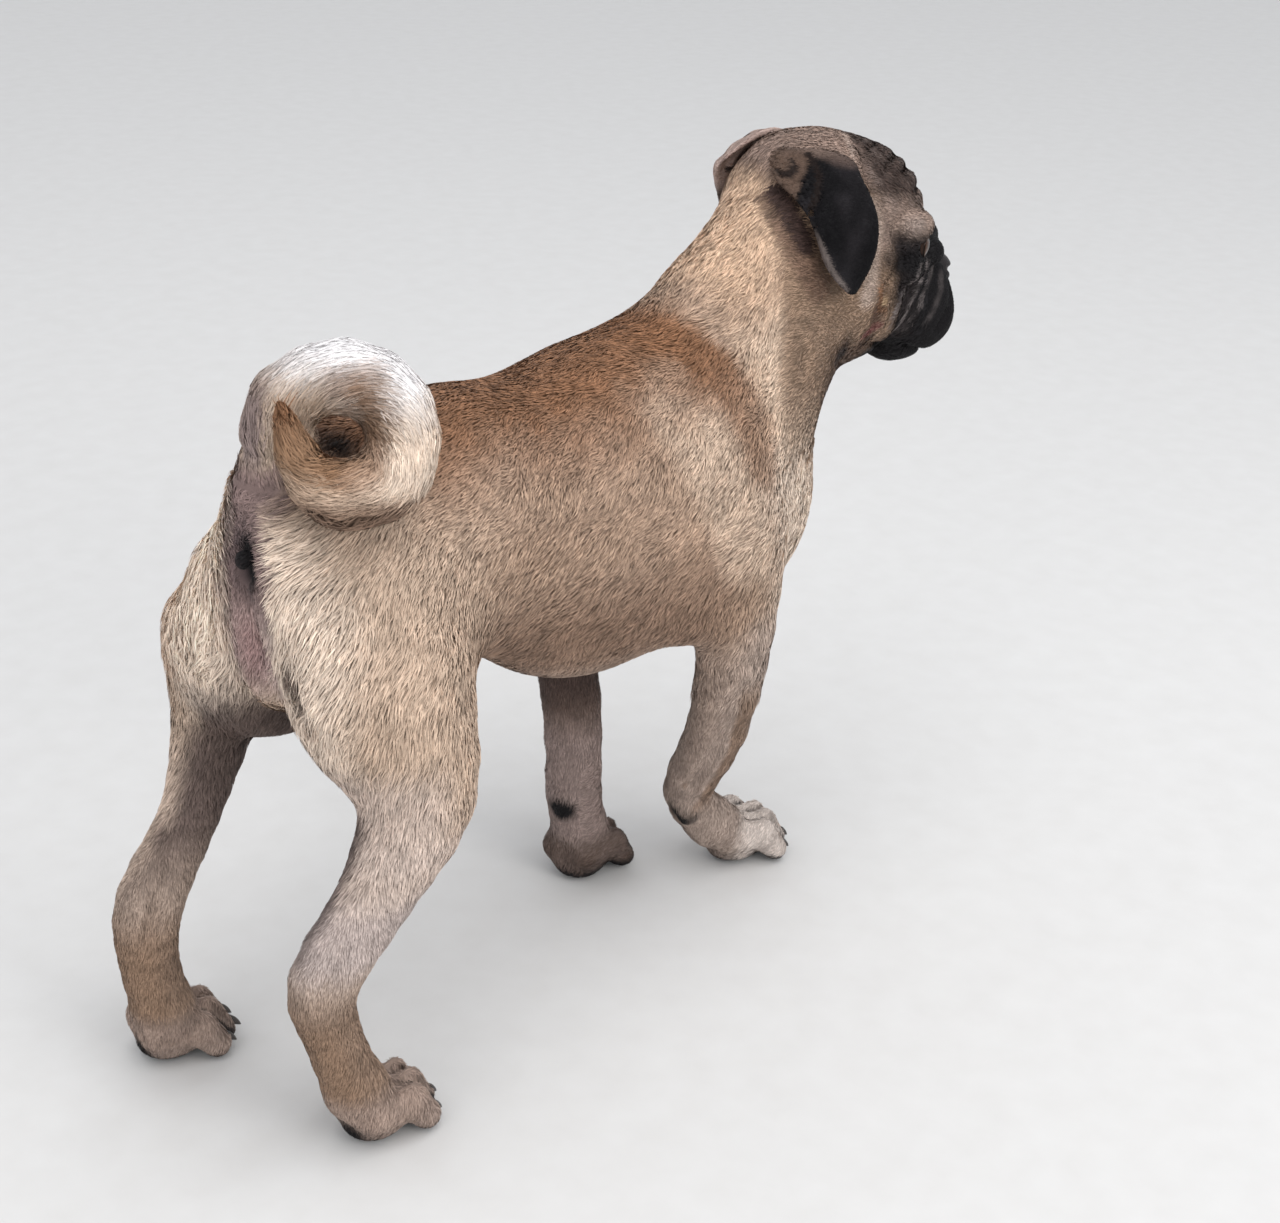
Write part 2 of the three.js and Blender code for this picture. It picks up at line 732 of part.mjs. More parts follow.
function addNode(name, solid, look = COAT) {
  const made = new THREE.Mesh(geometryOf(solid), new THREE.MeshStandardMaterial(look));
  made.name = name;
  made.position.set(-CENTRE[0], -CENTRE[1], 0);
  group.add(made);
}

// Head, neck and everything set in the head
const HEAD_SIZE = 92;
const NECK_CUT = { place: headFrame.out([-32, 0, -14]), nod: HEAD_NOD + 59 };
const headLow = add(HEAD_AT, [-HEAD_SIZE, -HEAD_SIZE, -HEAD_SIZE]);
const headHigh = add(HEAD_AT, [HEAD_SIZE, HEAD_SIZE, HEAD_SIZE]);
const cutFrame = frame([0, 0, 0], HEAD_TURN, NECK_CUT.nod);
const cutNormal = cutFrame.out([0, 0, 1]);
const cutHeight = dot(cutNormal, NECK_CUT.place);
const wholeHead = skinSolid(dog, headLow, headHigh, 2, 3300).trimByPlane(cutNormal, cutHeight + GAP / 2);

const eyePlace = (s) => headFrame.out([EYE_AT[0], s * EYE_AT[1], EYE_AT[2]]);
const ballAt = (s, radius) =>
  solidOfGeometry(new THREE.IcosahedronGeometry(radius, 3).translate(...eyePlace(s)));

const NOSE_AT = [68, 0, -17];
const NOSE_SIZE = [9, 13, 9];
const noseEgg = (grow) => headFrame.field(egg(NOSE_AT, NOSE_SIZE.map((v) => v + grow), 0, 10));
const nostrils = bothSides((s) =>
  headFrame.field(limb(2, [77, s * 4.6, -17, 2.2], [74, s * 9, -16, 2], [70, s * 12.5, -14, 1.2])),
);
const noseField = carve(1, noseEgg(0), ...nostrils);
const boxAround = (place, reach) => [sub(place, [reach, reach, reach]), add(place, [reach, reach, reach])];
const nosePlace = headFrame.out(NOSE_AT);
const noseSolid = skinSolid(noseField, ...boxAround(nosePlace, 20), 1, 320);
const noseSocket = skinSolid(noseEgg(0.45), ...boxAround(nosePlace, 20), 1, 320);

// The mouth: a thin strip in side view, run across the head
const MOUTH = [
  [92, -49],
  [70, -50],
  [52, -56],
  [32, -53],
  [13, -45],
  [5, -54],
  [2, -68],
  [2, -110],
];
function strip(path, thickness) {
  const sides = [1, -1].map((side) =>
    path.map((p, i) => {
      const from = path[Math.max(i - 1, 0)];
      const to = path[Math.min(i + 1, path.length - 1)];
      const d = [to[0] - from[0], to[1] - from[1]];
      const size = Math.hypot(...d);
      return new THREE.Vector2(
        p[0] - (side * d[1] * thickness) / 2 / size,
        p[1] + (side * d[0] * thickness) / 2 / size,
      );
    }),
  );
  return new THREE.Shape([...sides[0], ...sides[1].reverse()]);
}
const mouthWidth = 140;
const mouthCut = new THREE.ExtrudeGeometry(strip(MOUTH, GAP), { depth: mouthWidth, bevelEnabled: false })
  .translate(0, 0, -mouthWidth / 2)
  .applyMatrix4(new THREE.Matrix4().makeRotationX(Math.PI / 2))
  .applyMatrix4(headFrame.matrix);

const headParts = wholeHead
  .subtract(noseSocket)
  .subtract(ballAt(1, EYE_RADIUS + GAP))
  .subtract(ballAt(-1, EYE_RADIUS + GAP))
  .subtract(solidOfGeometry(mouthCut))
  .decompose();
addNode("head", pieceAt(headParts, headFrame.out([-4, 0, 0])));
addNode("lower_jaw", pieceAt(headParts, headFrame.out([40, 0, -56])));
addNode("nose", noseSolid, LEATHER);
addNode("eye_left", ballAt(1, EYE_RADIUS), GLASS);
addNode("eye_right", ballAt(-1, EYE_RADIUS), GLASS);
for (const [name, s] of [
  ["ear_left", 1],
  ["ear_right", -1],
]) {
  const middle = headFrame.out([-30, s * 45, 12]);
  const pieces = skinSolid(earField(s), ...boxAround(middle, 48), EAR_CELL, EAR_TRIANGLES).decompose();
  pieces.sort((a, b) => b.volume() - a.volume());
  addNode(name, pieces[0], LEATHER);
}

// The tail leaves the torso across a plane that leans back a little.
const TAIL_ROOT = [-124, 0, 290];
const TAIL_LEAN = -15;
const TAIL_STUB = 32;
const tailCut = (up) => frame(TAIL_ROOT, 0, TAIL_LEAN).out([0, 0, up]);

// Torso, neck and legs
const bodyParts = skinSolid(dog, [-215, -90, WRIST_CUT - 8], [262, 90, 400], 4, 4000)
  .trimByPlane([0, 0, 1], WRIST_CUT + GAP / 2)
  .trimByPlane(cutNormal.map((v) => -v), -(cutHeight - GAP / 2))
  .subtract(blade([130, 0, 266], [230, 180], 0, 56))
  .subtract(blade(tailCut(TAIL_STUB / 2), [60, 60], 0, TAIL_LEAN, 0, TAIL_STUB + GAP))
  .subtract(blade([108, -52, 152], [90, 90], 0, 0, -22))
  .subtract(blade([88, 52, 152], [90, 90], 0, 0, 22))
  .subtract(blade([-105, -48, 205], [150, 112], 0, 22, -31))
  .subtract(blade([-105, 48, 205], [150, 112], 0, 22, 31))
  .subtract(blade([-108, -54, 134], [80, 60], 0, 45))
  .subtract(blade([-116, 52, 134], [80, 60], 0, 45))
  .subtract(blade([-155, -52, 78], [50, 50], 0, 10))
  .subtract(blade([-163, 45, 78], [50, 50], 0, 6))
  .decompose();
addNode("torso", pieceAt(bodyParts, [40, 0, BODY_MID]));
addNode("neck", pieceAt(bodyParts, [160, -3, 285]));
addNode("foreleg_right", pieceAt(bodyParts, [116, -42, 100]));
addNode("foreleg_left", pieceAt(bodyParts, [88, 28, 100]));
addNode("thigh_right", pieceAt(bodyParts, [-98, -50, 165]));
addNode("thigh_left", pieceAt(bodyParts, [-104, 50, 165]));
addNode("shank_right", pieceAt(bodyParts, [-130, -54, 110]));
addNode("shank_left", pieceAt(bodyParts, [-142, 46, 108]));
addNode("hock_right", pieceAt(bodyParts, [-150, -52, 60]));
addNode("hock_left", pieceAt(bodyParts, [-162, 46, 60]));

// Tail
function tailBlade([angle, reach, out, radius]) {
  const place = [reach * Math.cos(rad(angle)), -out, reach * Math.sin(rad(angle))];
  const box = new THREE.BoxGeometry(2.3 * radius, 2.6 * radius, GAP);
  return solidOfGeometry(box.applyMatrix4(frame(place, 0, -angle).matrix).applyMatrix4(tailFrame.matrix));
}
const tailParts = skinSolid(tailField, [-180, -90, 230], [-30, 40, 370], 2.4, 820)
  .subtract(blade(tailCut(-TAIL_STUB / 2), [60, 46], 0, TAIL_LEAN, 0, TAIL_STUB + GAP))
  .subtract(tailBlade(TAIL_RINGS[4]))
  .subtract(tailBlade(TAIL_RINGS[9]))
  .decompose();
const ringPlace = (ring) => tailAt(ring).slice(0, 3);
addNode("tail_base", pieceAt(tailParts, ringPlace(TAIL_RINGS[2])));
addNode("tail_middle", pieceAt(tailParts, ringPlace(TAIL_RINGS[6])));
addNode("tail_tip", pieceAt(tailParts, ringPlace(TAIL_RINGS[11])));

// Paws and claws
const CLAW_LENGTH = 7;
const CLAW_HOOK = 4.5;
const CLAW_RADII = [2.5, 2.3, 1.7, 0.6];
const CLAW_SIDES = 7;
for (const [name, leg] of Object.entries(LEGS)) {
  const [x, y] = leg.paw;
  const place = pawFrame(leg);
  const field = melt(6, legField(leg), pawField(leg));
  let paw = skinSolid(field, [x - 60, y - 45, -12], [x + 45, y + 45, WRIST_CUT + 6], 1.9, 350)
    .trimByPlane([0, 0, 1], 0)
    .trimByPlane([0, 0, -1], -(WRIST_CUT - GAP / 2));
  TOES.forEach((toe, i) => {
    const [tx, ty, tz] = toeTip(toe);
    const along = (t) => place.out([tx + 2.5 + t * CLAW_LENGTH, ty, tz + 2.5 - CLAW_HOOK * t * t]);
    const line = [0, 0.33, 0.67, 1].map(along);
    const socket = [along(-GAP / 6), ...line.slice(1)];
    paw = paw.subtract(solidOf(tube(socket, CLAW_RADII.map((r) => r + GAP), CLAW_SIDES)));
    addNode(name + "_claw_" + (i + 1), solidOf(tube(line, CLAW_RADII, CLAW_SIDES)), HORN);
  });
  addNode(name + "_paw", paw);
}

export default group;
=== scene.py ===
"""A life-size pug, seen from behind on its right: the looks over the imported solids.

One skin is grown from the same eggs and limbs as the solids, a coat's depth inside them, and short tufts
lie over it. The shapes are worked out in millimetres in the dog's own frame (+X from rump to chest, +Y to
its left, +Z up) and are moved to the part's frame, in metres, when their meshes are made.
"""

import math

import bpy
import numpy as np
from mathutils import Matrix, Vector


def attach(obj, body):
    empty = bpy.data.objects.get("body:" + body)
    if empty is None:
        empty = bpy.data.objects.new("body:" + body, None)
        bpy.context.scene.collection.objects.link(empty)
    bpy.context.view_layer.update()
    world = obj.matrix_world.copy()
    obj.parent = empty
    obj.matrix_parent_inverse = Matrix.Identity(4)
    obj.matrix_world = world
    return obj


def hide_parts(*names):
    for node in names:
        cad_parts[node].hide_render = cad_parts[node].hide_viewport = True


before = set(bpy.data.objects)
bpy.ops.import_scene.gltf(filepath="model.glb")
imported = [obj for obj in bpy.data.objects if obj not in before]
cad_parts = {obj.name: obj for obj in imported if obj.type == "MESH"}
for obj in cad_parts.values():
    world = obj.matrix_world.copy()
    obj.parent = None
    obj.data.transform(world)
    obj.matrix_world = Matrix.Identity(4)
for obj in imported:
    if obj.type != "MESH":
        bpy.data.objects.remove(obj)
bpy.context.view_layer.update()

# Sizes, in millimetres

WITHERS = 305
BODY_MID = WITHERS - 78
CENTRE = np.array([59.8, 1.2, 0.0])  # the dog's middle, which the part's frame has at its origin
HEAD_AT = (230, -5, 322)
HEAD_TURN = -25
HEAD_NOD = 8
EYE_RADIUS = 11
EYE_AT = (32, 27, 0)
FAR = 60.0  # what a field says outside its own box


# Vectors and frames


def smooth(low, high, v):
    t = np.clip((v - low) / (high - low), 0, 1)
    return t * t * (3 - 2 * t)


def band(v, low, full, end, high):
    """Rises from low to full and falls again from end to high."""
    return smooth(low, full, v) * smooth(high, end, v)


def unit(v):
    return v / np.maximum(np.linalg.norm(v, axis=-1, keepdims=True), 1e-9)


class Place:
    """A frame with its own origin and turns about Z, Y and X, in that order."""

    def __init__(self, origin, turn=0, nod=0, roll=0):
        turns = Matrix.Identity(3)
        for angle, axis in ((turn, "Z"), (nod, "Y"), (roll, "X")):
            turns = turns @ Matrix.Rotation(math.radians(angle), 3, axis)
        self.origin = np.array(origin, float)
        self.axes = np.array(turns)

    def out(self, p):
        return np.asarray(p, float) @ self.axes.T + self.origin

    def own(self, p):
        return (p - self.origin) @ self.axes

    def turn_out(self, v):
        return np.asarray(v, float) @ self.axes.T

    def field(self, inner):
        return lambda p: inner(self.own(p))


# Fields: the distance of many points to a skin, negative inside


def egg(centre, radii, turn=0, nod=0, roll=0):
    place = Place(centre, turn, nod, roll)
    r = np.array(radii, float)

    def field(p):
        q = place.own(p)
        near = np.sqrt(((q / r) ** 2).sum(1))
        far = np.sqrt(((q / (r * r)) ** 2).sum(1))
        return near * (near - 1) / np.maximum(far, 1e-9)

    return field


def cone(a, b):
    """A rounded cone between two balls, each a point with a radius."""
    p, q = np.array(a[:3], float), np.array(b[:3], float)
    axis = q - p
    length2 = axis @ axis

    def field(points):
        away = points - p
        t = np.clip(away @ axis / length2, 0, 1)
        return np.sqrt(((away - t[:, None] * axis) ** 2).sum(1)) - (a[3] + (b[3] - a[3]) * t)

    return field


def soft_min(a, b, k):
    h = np.maximum(k - np.abs(a - b), 0) / k
    return np.minimum(a, b) - h * h * k * 0.25


def melt(k, *fields):
    def field(p):
        d = fields[0](p)
        for other in fields[1:]:
            d = soft_min(d, other(p), k)
        return d

    return field


def carve(k, field, *tools):
    def carved(p):
        d = field(p)
        for tool in tools:
            d = -soft_min(-d, tool(p), k)
        return d

    return carved


def limb(k, *joints):
    return melt(k, *[cone(a, b) for a, b in zip(joints, joints[1:])])


def flow(joints, steps=3):
    """Places along a smooth curve through joints, with smooth radii."""
    p = np.array([joints[0], *joints, joints[-1]], float)
    places = []
    for a, b, c, d in zip(p, p[1:], p[2:], p[3:]):
        for u in np.arange(steps) / steps:
            places.append(b + 0.5 * u * (c - a + u * (2 * a - 5 * b + 4 * c - d + u * (3 * (b - c) + d - a))))
    return [*places, p[-1]]


def within(low, high, field):
    """The field inside a box, and far away outside it."""
    low, high = np.array(low, float), np.array(high, float)

    def boxed(p):
        d = np.full(len(p), FAR)
        inside = ((p > low) & (p < high)).all(1)
        if inside.any():
            d[inside] = field(p[inside])
        return d

    return boxed


def both_sides(make):
    return [make(1), make(-1)]


def slope_of(field, p, step=0.3):
    """The field and its slope at points."""
    d = field(p)
    slope = np.stack([(field(p + step * axis) - d) / step for axis in np.eye(3)], 1)
    return d, slope


def on_skin(field, p):
    q = np.array([p], float)
    for _ in range(6):
        d, slope = slope_of(field, q, 0.5)
        q = q - slope * (d / np.maximum((slope**2).sum(1), 0.04))[:, None]
    return q[0]


def noise(p, size, seed):
    """Smooth noise from -1 to 1 in three dimensions, with lumps of about that size."""
    q = p / size + 1000
    base = np.floor(q).astype(np.int64)
    t = q - base
    t = t * t * (3 - 2 * t)
    total = np.zeros(len(p))
    for corner in np.ndindex(2, 2, 2):
        n = base + np.array(corner)
        h = n[:, 0] * 374761393 + n[:, 1] * 668265263 + n[:, 2] * 1274126177 + seed * 974711
        h = (h ^ (h >> 13)) * 1103515245
        h = ((h ^ (h >> 16)) & 0xFFFF) / 32767.5 - 1
        w = np.where(np.array(corner), t, 1 - t).prod(1)
        total += h * w
    return total


# The dog's form

ribs = egg((60, 0, BODY_MID - 9), (90, 59, 79), 0, 4)
breast = egg((143, -13, BODY_MID - 18), (51, 45, 60))
loin = egg((-40, 0, BODY_MID + 10), (86, 50, 62), 0, -4)
pelvis = egg((-94, -1, BODY_MID + 14), (50, 36, 58))
shoulders = both_sides(lambda s: egg((98, s * 42, BODY_MID - 10), (36, 23, 60), 0, 12, s * 6))
haunches = both_sides(lambda s: egg((-99, s * 34, BODY_MID - 26), (42, 24, 54), 0, -18))
nape = limb(8, (84, 0, 258, 32), (146, -7, 298, 28.5), (200, -8, 333, 32))
gullet = limb(8, (124, -5, 240, 43), (168, -8, 270, 40), (206, -9, 298, 38))
tail_stub = cone((-110, 0, 262, 20), (-124, 0, 292, 14))
trunk = melt(24, ribs, breast, loin, pelvis, *shoulders, *haunches, nape, gullet, tail_stub)

LEGS = {  # the middle of the paw, its heading, and the leg's joints with their radii
    "fore_right": ((165, -25), -16, [
        (108, -48, 206, 27), (111.5, -53, 160, 19), (116, -42, 100, 15.5),
        (121, -21.5, 54, 12.5), (140, -23, 28, 12.5),
    ]),
    "fore_left": ((98, 25), 8, [
        (97, 43, 206, 28), (88.7, 41, 160, 18.5), (87.7, 29.5, 100, 15.5),
        (84.7, 23.5, 50, 14.2), (90, 23.5, 28, 13),
    ]),
    "hind_right": ((-121, -53), 0, [
        (-102, -40, 196, 34), (-98, -51, 152, 25), (-123, -53.5, 118, 16.5),
        (-153.5, -53.5, 89, 14.5), (-149.5, -53.5, 60, 12), (-138, -54, 28, 13),
    ]),
    "hind_left": ((-144, 54), -16, [
        (-115, 48, 200, 24), (-112.5, 60, 152, 18.5), (-134, 52, 118, 13.5),
        (-163.5, 44.5, 90, 14.5), (-164, 48, 60, 12.8), (-156, 51, 28, 13),
    ]),
}
TOES = [(-14.4, 10), (-5, 16.5), (5, 16.5), (14.4, 10)]  # y and reach of each
TOE_RADIUS = 6.8
TOE_GAPS = (-9.8, 0, 9.8)


def toe_tip(toe):
    return (toe[1], toe[0] * 1.05, TOE_RADIUS + 0.4)


def toe_field(toe):
    y, tip = toe
    return limb(
        5, (tip - 24, y * 0.6, 17, 8.5), (tip - 8, y * 0.95, 18, TOE_RADIUS + 0.4),
        (*toe_tip(toe), TOE_RADIUS)
    )


def paw_field(leg):
    middle, heading, joints = leg
    place = Place((*middle, 0), heading)
    root = limb(10, joints[-1], (*place.out((-8, 0, 16)), 12))
    sole = egg((-6, 0, 7), (15, 13, 8))
    toes = melt(2.5, *[toe_field(toe) for toe in TOES])
    gaps = [limb(1, (-4, y * 0.8, 26, 1.2), (9, y, 24, 2.4), (21, y * 1.1, 9, 2)) for y in TOE_GAPS]
    low = np.array([middle[0] - 62, middle[1] - 50, -20])
    return within(
        low, low + (112, 100, 95),
        carve(2, melt(6, root, place.field(sole), place.field(toes)), *map(place.field, gaps))
    )


def leg_field(leg):
    joints = np.array(leg[2])[:, :3]
    return within(joints.min(0) - 60, joints.max(0) + 60, limb(2, *flow(leg[2])))


leg_fields = {name: leg_field(leg) for name, leg in LEGS.items()}
paw_fields = {name: paw_field(leg) for name, leg in LEGS.items()}

# Head, in its own frame: +X to the nose, +Z to the crown
head = Place(HEAD_AT, HEAD_TURN, HEAD_NOD)
cranium = egg((-8, 0, 6), (46, 43, 42))
forehead = egg((17, 0, 12), (31, 36, 31))
brows = both_sides(lambda s: egg((31, s * 30.5, 11), (11, 10.5, 8), s * 25))
cheeks = both_sides(lambda s: egg((5, s * 24, -29), (33, 20, 32)))
throat = egg((-8, 0, -44), (33, 29, 27))
muzzle = egg((45, 0, -25), (31, 28, 22))
flews = both_sides(lambda s: egg((52.5, s * 15, -38), (23, 15.5, 20)))
chin = egg((51, 0, -55), (17, 16, 12))
nose_roll = both_sides(lambda s: limb(4, (37, s * 29, -15, 5), (53, s * 19, -5, 6), (60, 0, 0, 6)))
lid_balls = both_sides(lambda s: egg((EYE_AT[0], s * EYE_AT[1], EYE_AT[2]), (13, 13, 13)))
head_core = melt(9, cranium, forehead, *cheeks, throat, muzzle, *flews, chin)
head_mass = melt(4, head_core, *brows, *nose_roll, *lid_balls)


def furrow(places, width):
    """A furrow along places on the head, deepest at its middle."""
    joints = []
    for i, p in enumerate(places):
        middle = math.sin(math.pi * (i + 0.5) / len(places))
        joints.append((*on_skin(head_mass, p), width * (0.45 + 0.55 * middle)))
    return limb(1, *joints)


def eye_place(s):
    return Place((EYE_AT[0], s * EYE_AT[1], EYE_AT[2]), s * 32, -4)


LIP_LINE = [(12, 34, -44), (26, 34, -52), (44, 28, -58), (61, 16, -56), (70, 5, -50)]
FOLDS = [  # width, then places for the left side
    (1.6, [(42, 4, 22), (40, 14, 27), (34, 26, 26)]),
    (1.5, [(36, 5, 32), (33, 14, 35), (26, 25, 35)]),
    (1.8, [(50, 8, 8), (46, 18, 4), (42, 24, -8), (34, 31, -14)]),
    (1.8, [(60, 12, -6), (58, 22, -16), (48, 28, -28)]),
    (1.6, [(30, 36, -18), (26, 38, -28), (22, 36, -38)]),
]
FINE_FOLDS = [  # the skin's own, over those of the solids
    (1.7, [(41, 32, -17), (36, 35, -27), (33, 36, -38)]),
    (1.7, [(52, 27, -11), (49, 29, -21), (43, 32, -31), (41, 31, -41)]),
    (1.6, [(60, 21, -15), (56, 26, -24), (51, 29, -33), (48, 29, -41)]),
    (1.4, [(67, 13, -20), (64, 20, -32), (59, 26, -42)]),
    (1.4, [(25, 42, -18), (23, 43, -28), (26, 41, -38)]),
    (0.9, [(32, 4, 41), (27, 13, 43), (18, 24, 42), (12, 31, 36)]),
    (0.7, [(20, 3, 48), (14, 12, 49), (6, 20, 47)]),
    (1.9, [(1, 11, 47), (2, 20, 46), (-1, 30, 40), (-2, 39, 34), (0, 45, 27)]),
    (1.1, [(22, 37, 24), (25, 38, 14), (21, 41, 4)]),
    (1.4, [(24, 41, -10), (15, 45, -17), (13, 46, -26), (18, 44, -32)]),
    (1.3, [(20, 41, 15), (17, 43, 8), (19, 42, 1)]),
]
JAW_FOLDS = [
    (1.5, [(2, 45, -38), (-6, 46, -47), (-16, 42, -55)]),
    (1.4, [(14, 42, -46), (6, 42, -56), (-4, 38, -63)]),
    (1.2, [(-12, 49, -34), (-18, 48, -44), (-26, 44, -52)]),
]


def mirrored(line, s):
    return [(x, s * y, z) for x, y, z in line]


lips = both_sides(lambda s: furrow([*mirrored(LIP_LINE, s), (71, 0, -48)], 2))
furrows = [
    *lips,
    furrow([(74, 0, -46), (75, 0, -36), (74, 0, -24)], 1.4),
    furrow([(40, 0, 14), (38, 0, 24), (30, 0, 36)], 1.8),
    *[furrow(mirrored(line, s), width) for width, line in FOLDS + FINE_FOLDS + JAW_FOLDS for s in (1, -1)],
]
lid_openings = both_sides(lambda s: eye_place(s).field(egg((12.6, 0, 0), (8, 8.2, 5.8))))
head_flesh = carve(3, head_mass, *furrows)
head_open = carve(1.5, head_flesh, *lid_openings)
ear_canals = both_sides(lambda s: egg((-38, s * 42, 8), (8, 9, 8)))
head_whole = carve(4, head_open, *ear_canals)


def head_part(field):
    """A field given in the head's frame, in a box round the head."""
    return within((120, -100, 225), (320, 90, 400), head.field(field))


head_field = head_part(head_whole)

# The nose leather sits in a socket of its own
NOSE_AT = (68, 0, -17)
NOSE_SIZE = np.array([9, 13, 9])
nostrils = both_sides(
    lambda s: limb(2, (77, s * 4.6, -17, 2.2), (74, s * 9, -16, 2), (70, s * 12.5, -14, 1.2))
)
philtrum = limb(1, (78, 0, -11, 0.5), (79, 0, -19, 0.9), (76, 0, -27, 1.0))
nose_field = head.field(carve(1.2, egg(NOSE_AT, NOSE_SIZE - 0.15, 0, 10), *nostrils, philtrum))
nose_socket = head_part(egg(NOSE_AT, NOSE_SIZE + 0.1, 0, 10))
eye_sockets = both_sides(
    lambda s: head_part(egg((EYE_AT[0], s * EYE_AT[1], EYE_AT[2]), [EYE_RADIUS + 0.15] * 3))
)
eye_corners = both_sides(lambda s: head_part(egg((32, s * 33, -12), (6.5, 5, 6))))

neck_trunk = carve(
    6, trunk, egg((-146, 0, 252), (6, 4, 6)),
    limb(4, (-144, 0, 238, 2.5), (-140, 0, 214, 3), (-130, 0, 196, 4))
)
vent = egg((-124, 0, 200), (15, 10, 15), 0, 20)
TENDONS = [  # grooves of the legs
    [(-143, -66, 117), (-151, -67, 107), (-165, -65, 91)],
    [(-128, -36, 122), (-145, -37, 106), (-158, -40, 90)],
    [(-148, 38, 122), (-166, 33, 102), (-175, 33, 76)],
    [(-128, 68, 122), (-146, 62, 106), (-164, 59, 90)],
    [(99, -62, 122), (103, -51, 92), (107, -34, 66)],
    [(80, 52, 122), (80, 40, 92), (78, 34, 66)],
]
WRIST_SPOTS = [(112, -25, 46), (70, 19, 48)]
CREASES = [  # of the trunk, each with its width
    (2.2, [(158, -40, 320), (156, -50, 298), (160, -51, 276)]),
    (2.2, [(158, 40, 320), (156, 50, 298), (160, 51, 276)]),
    (1.6, [(-144, -25, 226), (-145, -31, 212), (-141, -34, 198)]),
    (1.6, [(-144, 25, 226), (-145, 31, 212), (-141, 34, 198)]),
    (1.2, [(-145, 2, 240), (-144, 4, 222), (-141, 6, 206)]),
]
wrist_pads = [cone((112, -28, 49, 6), (115, -27, 43, 5)), cone((73, 21, 52, 6), (76, 21, 46, 5))]
body = melt(4, melt(14, neck_trunk, vent, *leg_fields.values()), *wrist_pads)
dog = melt(14, body, head_field)


def groove(line, width):
    """A soft groove along a line of places on the skin."""
    line = np.array(line, float)
    joints = [(*place, width * share) for place, share in zip(line, np.linspace(0.9, 1.0, len(line)))]
    return within(line.min(0) - 12, line.max(0) + 12, limb(1, *joints))


grooves = [groove(line, 3.0) for line in TENDONS] + [groove(line, width + 1) for width, line in CREASES]
ear_holes = both_sides(lambda s: head_part(egg((-57, s * 50, 14), (7, 8, 5.5), 0, 20)))
EAR_FOLDS = [  # at the rear of the ear's root, each with its width
    (1.5, [(-38, 35, 43), (-34, 42, 40), (-33, 47, 33), (-36, 52, 25), (-41, 56, 18)]),
    (1.3, [(-47, 32, 38), (-43, 38, 39), (-42, 44, 35), (-46, 47, 31), (-50, 44, 31)]),
    (1.2, [(-54, 38, 32), (-56, 44, 26), (-57, 49, 19)]),
]
ear_folds = [
    head_part(limb(1, *[(*place, width) for place in mirrored(line, s)]))
    for width, line in EAR_FOLDS
    for s in (1, -1)
]
vent_ring = carve(1, egg((-143.5, -3, 256), (3.6, 3.2, 4)), egg((-147.5, -3, 256), (3, 1.1, 1.7)))

# Ears: a sheet that follows the head at a distance, inside a leaf's outline
EAR_THICK = 3.6
EAR_LEAF = [
    (-18, 42), (-8, 31), (-3, 14), (-5, -4), (-16, -18), (-26, -14), (-36, -4), (-44, 10), (-51, 20),
    (-54, 32), (-42, 42)
]


def rounded(outline, steps):
    """A smooth closed line through the corners of an outline."""
    p = np.array(outline, float)
    t = np.linspace(0, len(p), steps, endpoint=False)
    i = t.astype(int)
    u = (t - i)[:, None]
    a, b, c, d = (p[(i + n) % len(p)] for n in (-1, 0, 1, 2))
    return b + 0.5 * u * (c - a + u * (2 * a - 5 * b + 4 * c - d + u * (3 * (b - c) + d - a)))


def outline_distance(outline, x, z):
    best = np.full(len(x), 1e9)
    inside = np.zeros(len(x), bool)
    for (ax, az), (bx, bz) in zip(outline, np.roll(outline, 1, 0)):
        ex, ez = bx - ax, bz - az
        t = np.clip(((x - ax) * ex + (z - az) * ez) / (ex * ex + ez * ez), 0, 1)
        best = np.minimum(best, np.hypot(x - ax - t * ex, z - az - t * ez))
        if az != bz:
            inside ^= ((az > z) != (bz > z)) & (x < (bx - ax) * (z - az) / (bz - az) + ax)
    return np.where(inside, -best, best)


leaf = rounded(EAR_LEAF, 48)


def over_head(x, y, z, lift, radius):
    foot = on_skin(head.field(head_whole), head.out((x, y, z)))
    foot = head.own(foot)
    return (*(foot + unit(foot - (-20, 0, 0)) * lift), radius)


ear_bits = {}
for s in (1, -1):
    cup = limb(
        3, over_head(-46, s * 40, 31, 4, 4.5), over_head(-50, s * 44, 20, 7, 4.5),
        over_head(-46, s * 46, 10, 7, 3)
    )
    root = limb(
        3, over_head(-46, s * 38, 33, 2, 6), over_head(-32, s * 36, 37, 2, 6),
        over_head(-16, s * 36, 36, 2, 5)
    )
    ear_bits[s] = (cup, root)


def with_ears(p, around):
    """The dog's field with its ears: each hangs clear of the head and melts into it only along its root."""
    near = ((p > (170, -95, 270)) & (p < (275, 90, 385))).all(1)
    q = head.own(p[near])
    x, y, z = q.T
    head_here = around[near]
    lift = 8 - 5.2 * smooth(10, 40, z) + 2 * smooth(8, 20, -z)
    flap = -soft_min(-(np.abs(head_here - lift) - EAR_THICK / 2), -outline_distance(leaf, x, z), 2.5)
    whole = head_here
    for s, (cup, root) in ear_bits.items():
        own_flap = np.maximum(flap, 14 - s * y)
        folded = soft_min(soft_min(own_flap, cup(q), 5), root(q), 6)
        folded = np.maximum(folded, 0.7 - head_here - 8 * smooth(30, 37, z))
        k = 0.4 + 4 * smooth(26, 36, z)
        whole = soft_min(whole, folded, k)
    d = around.copy()
    d[near] = whole
    return d


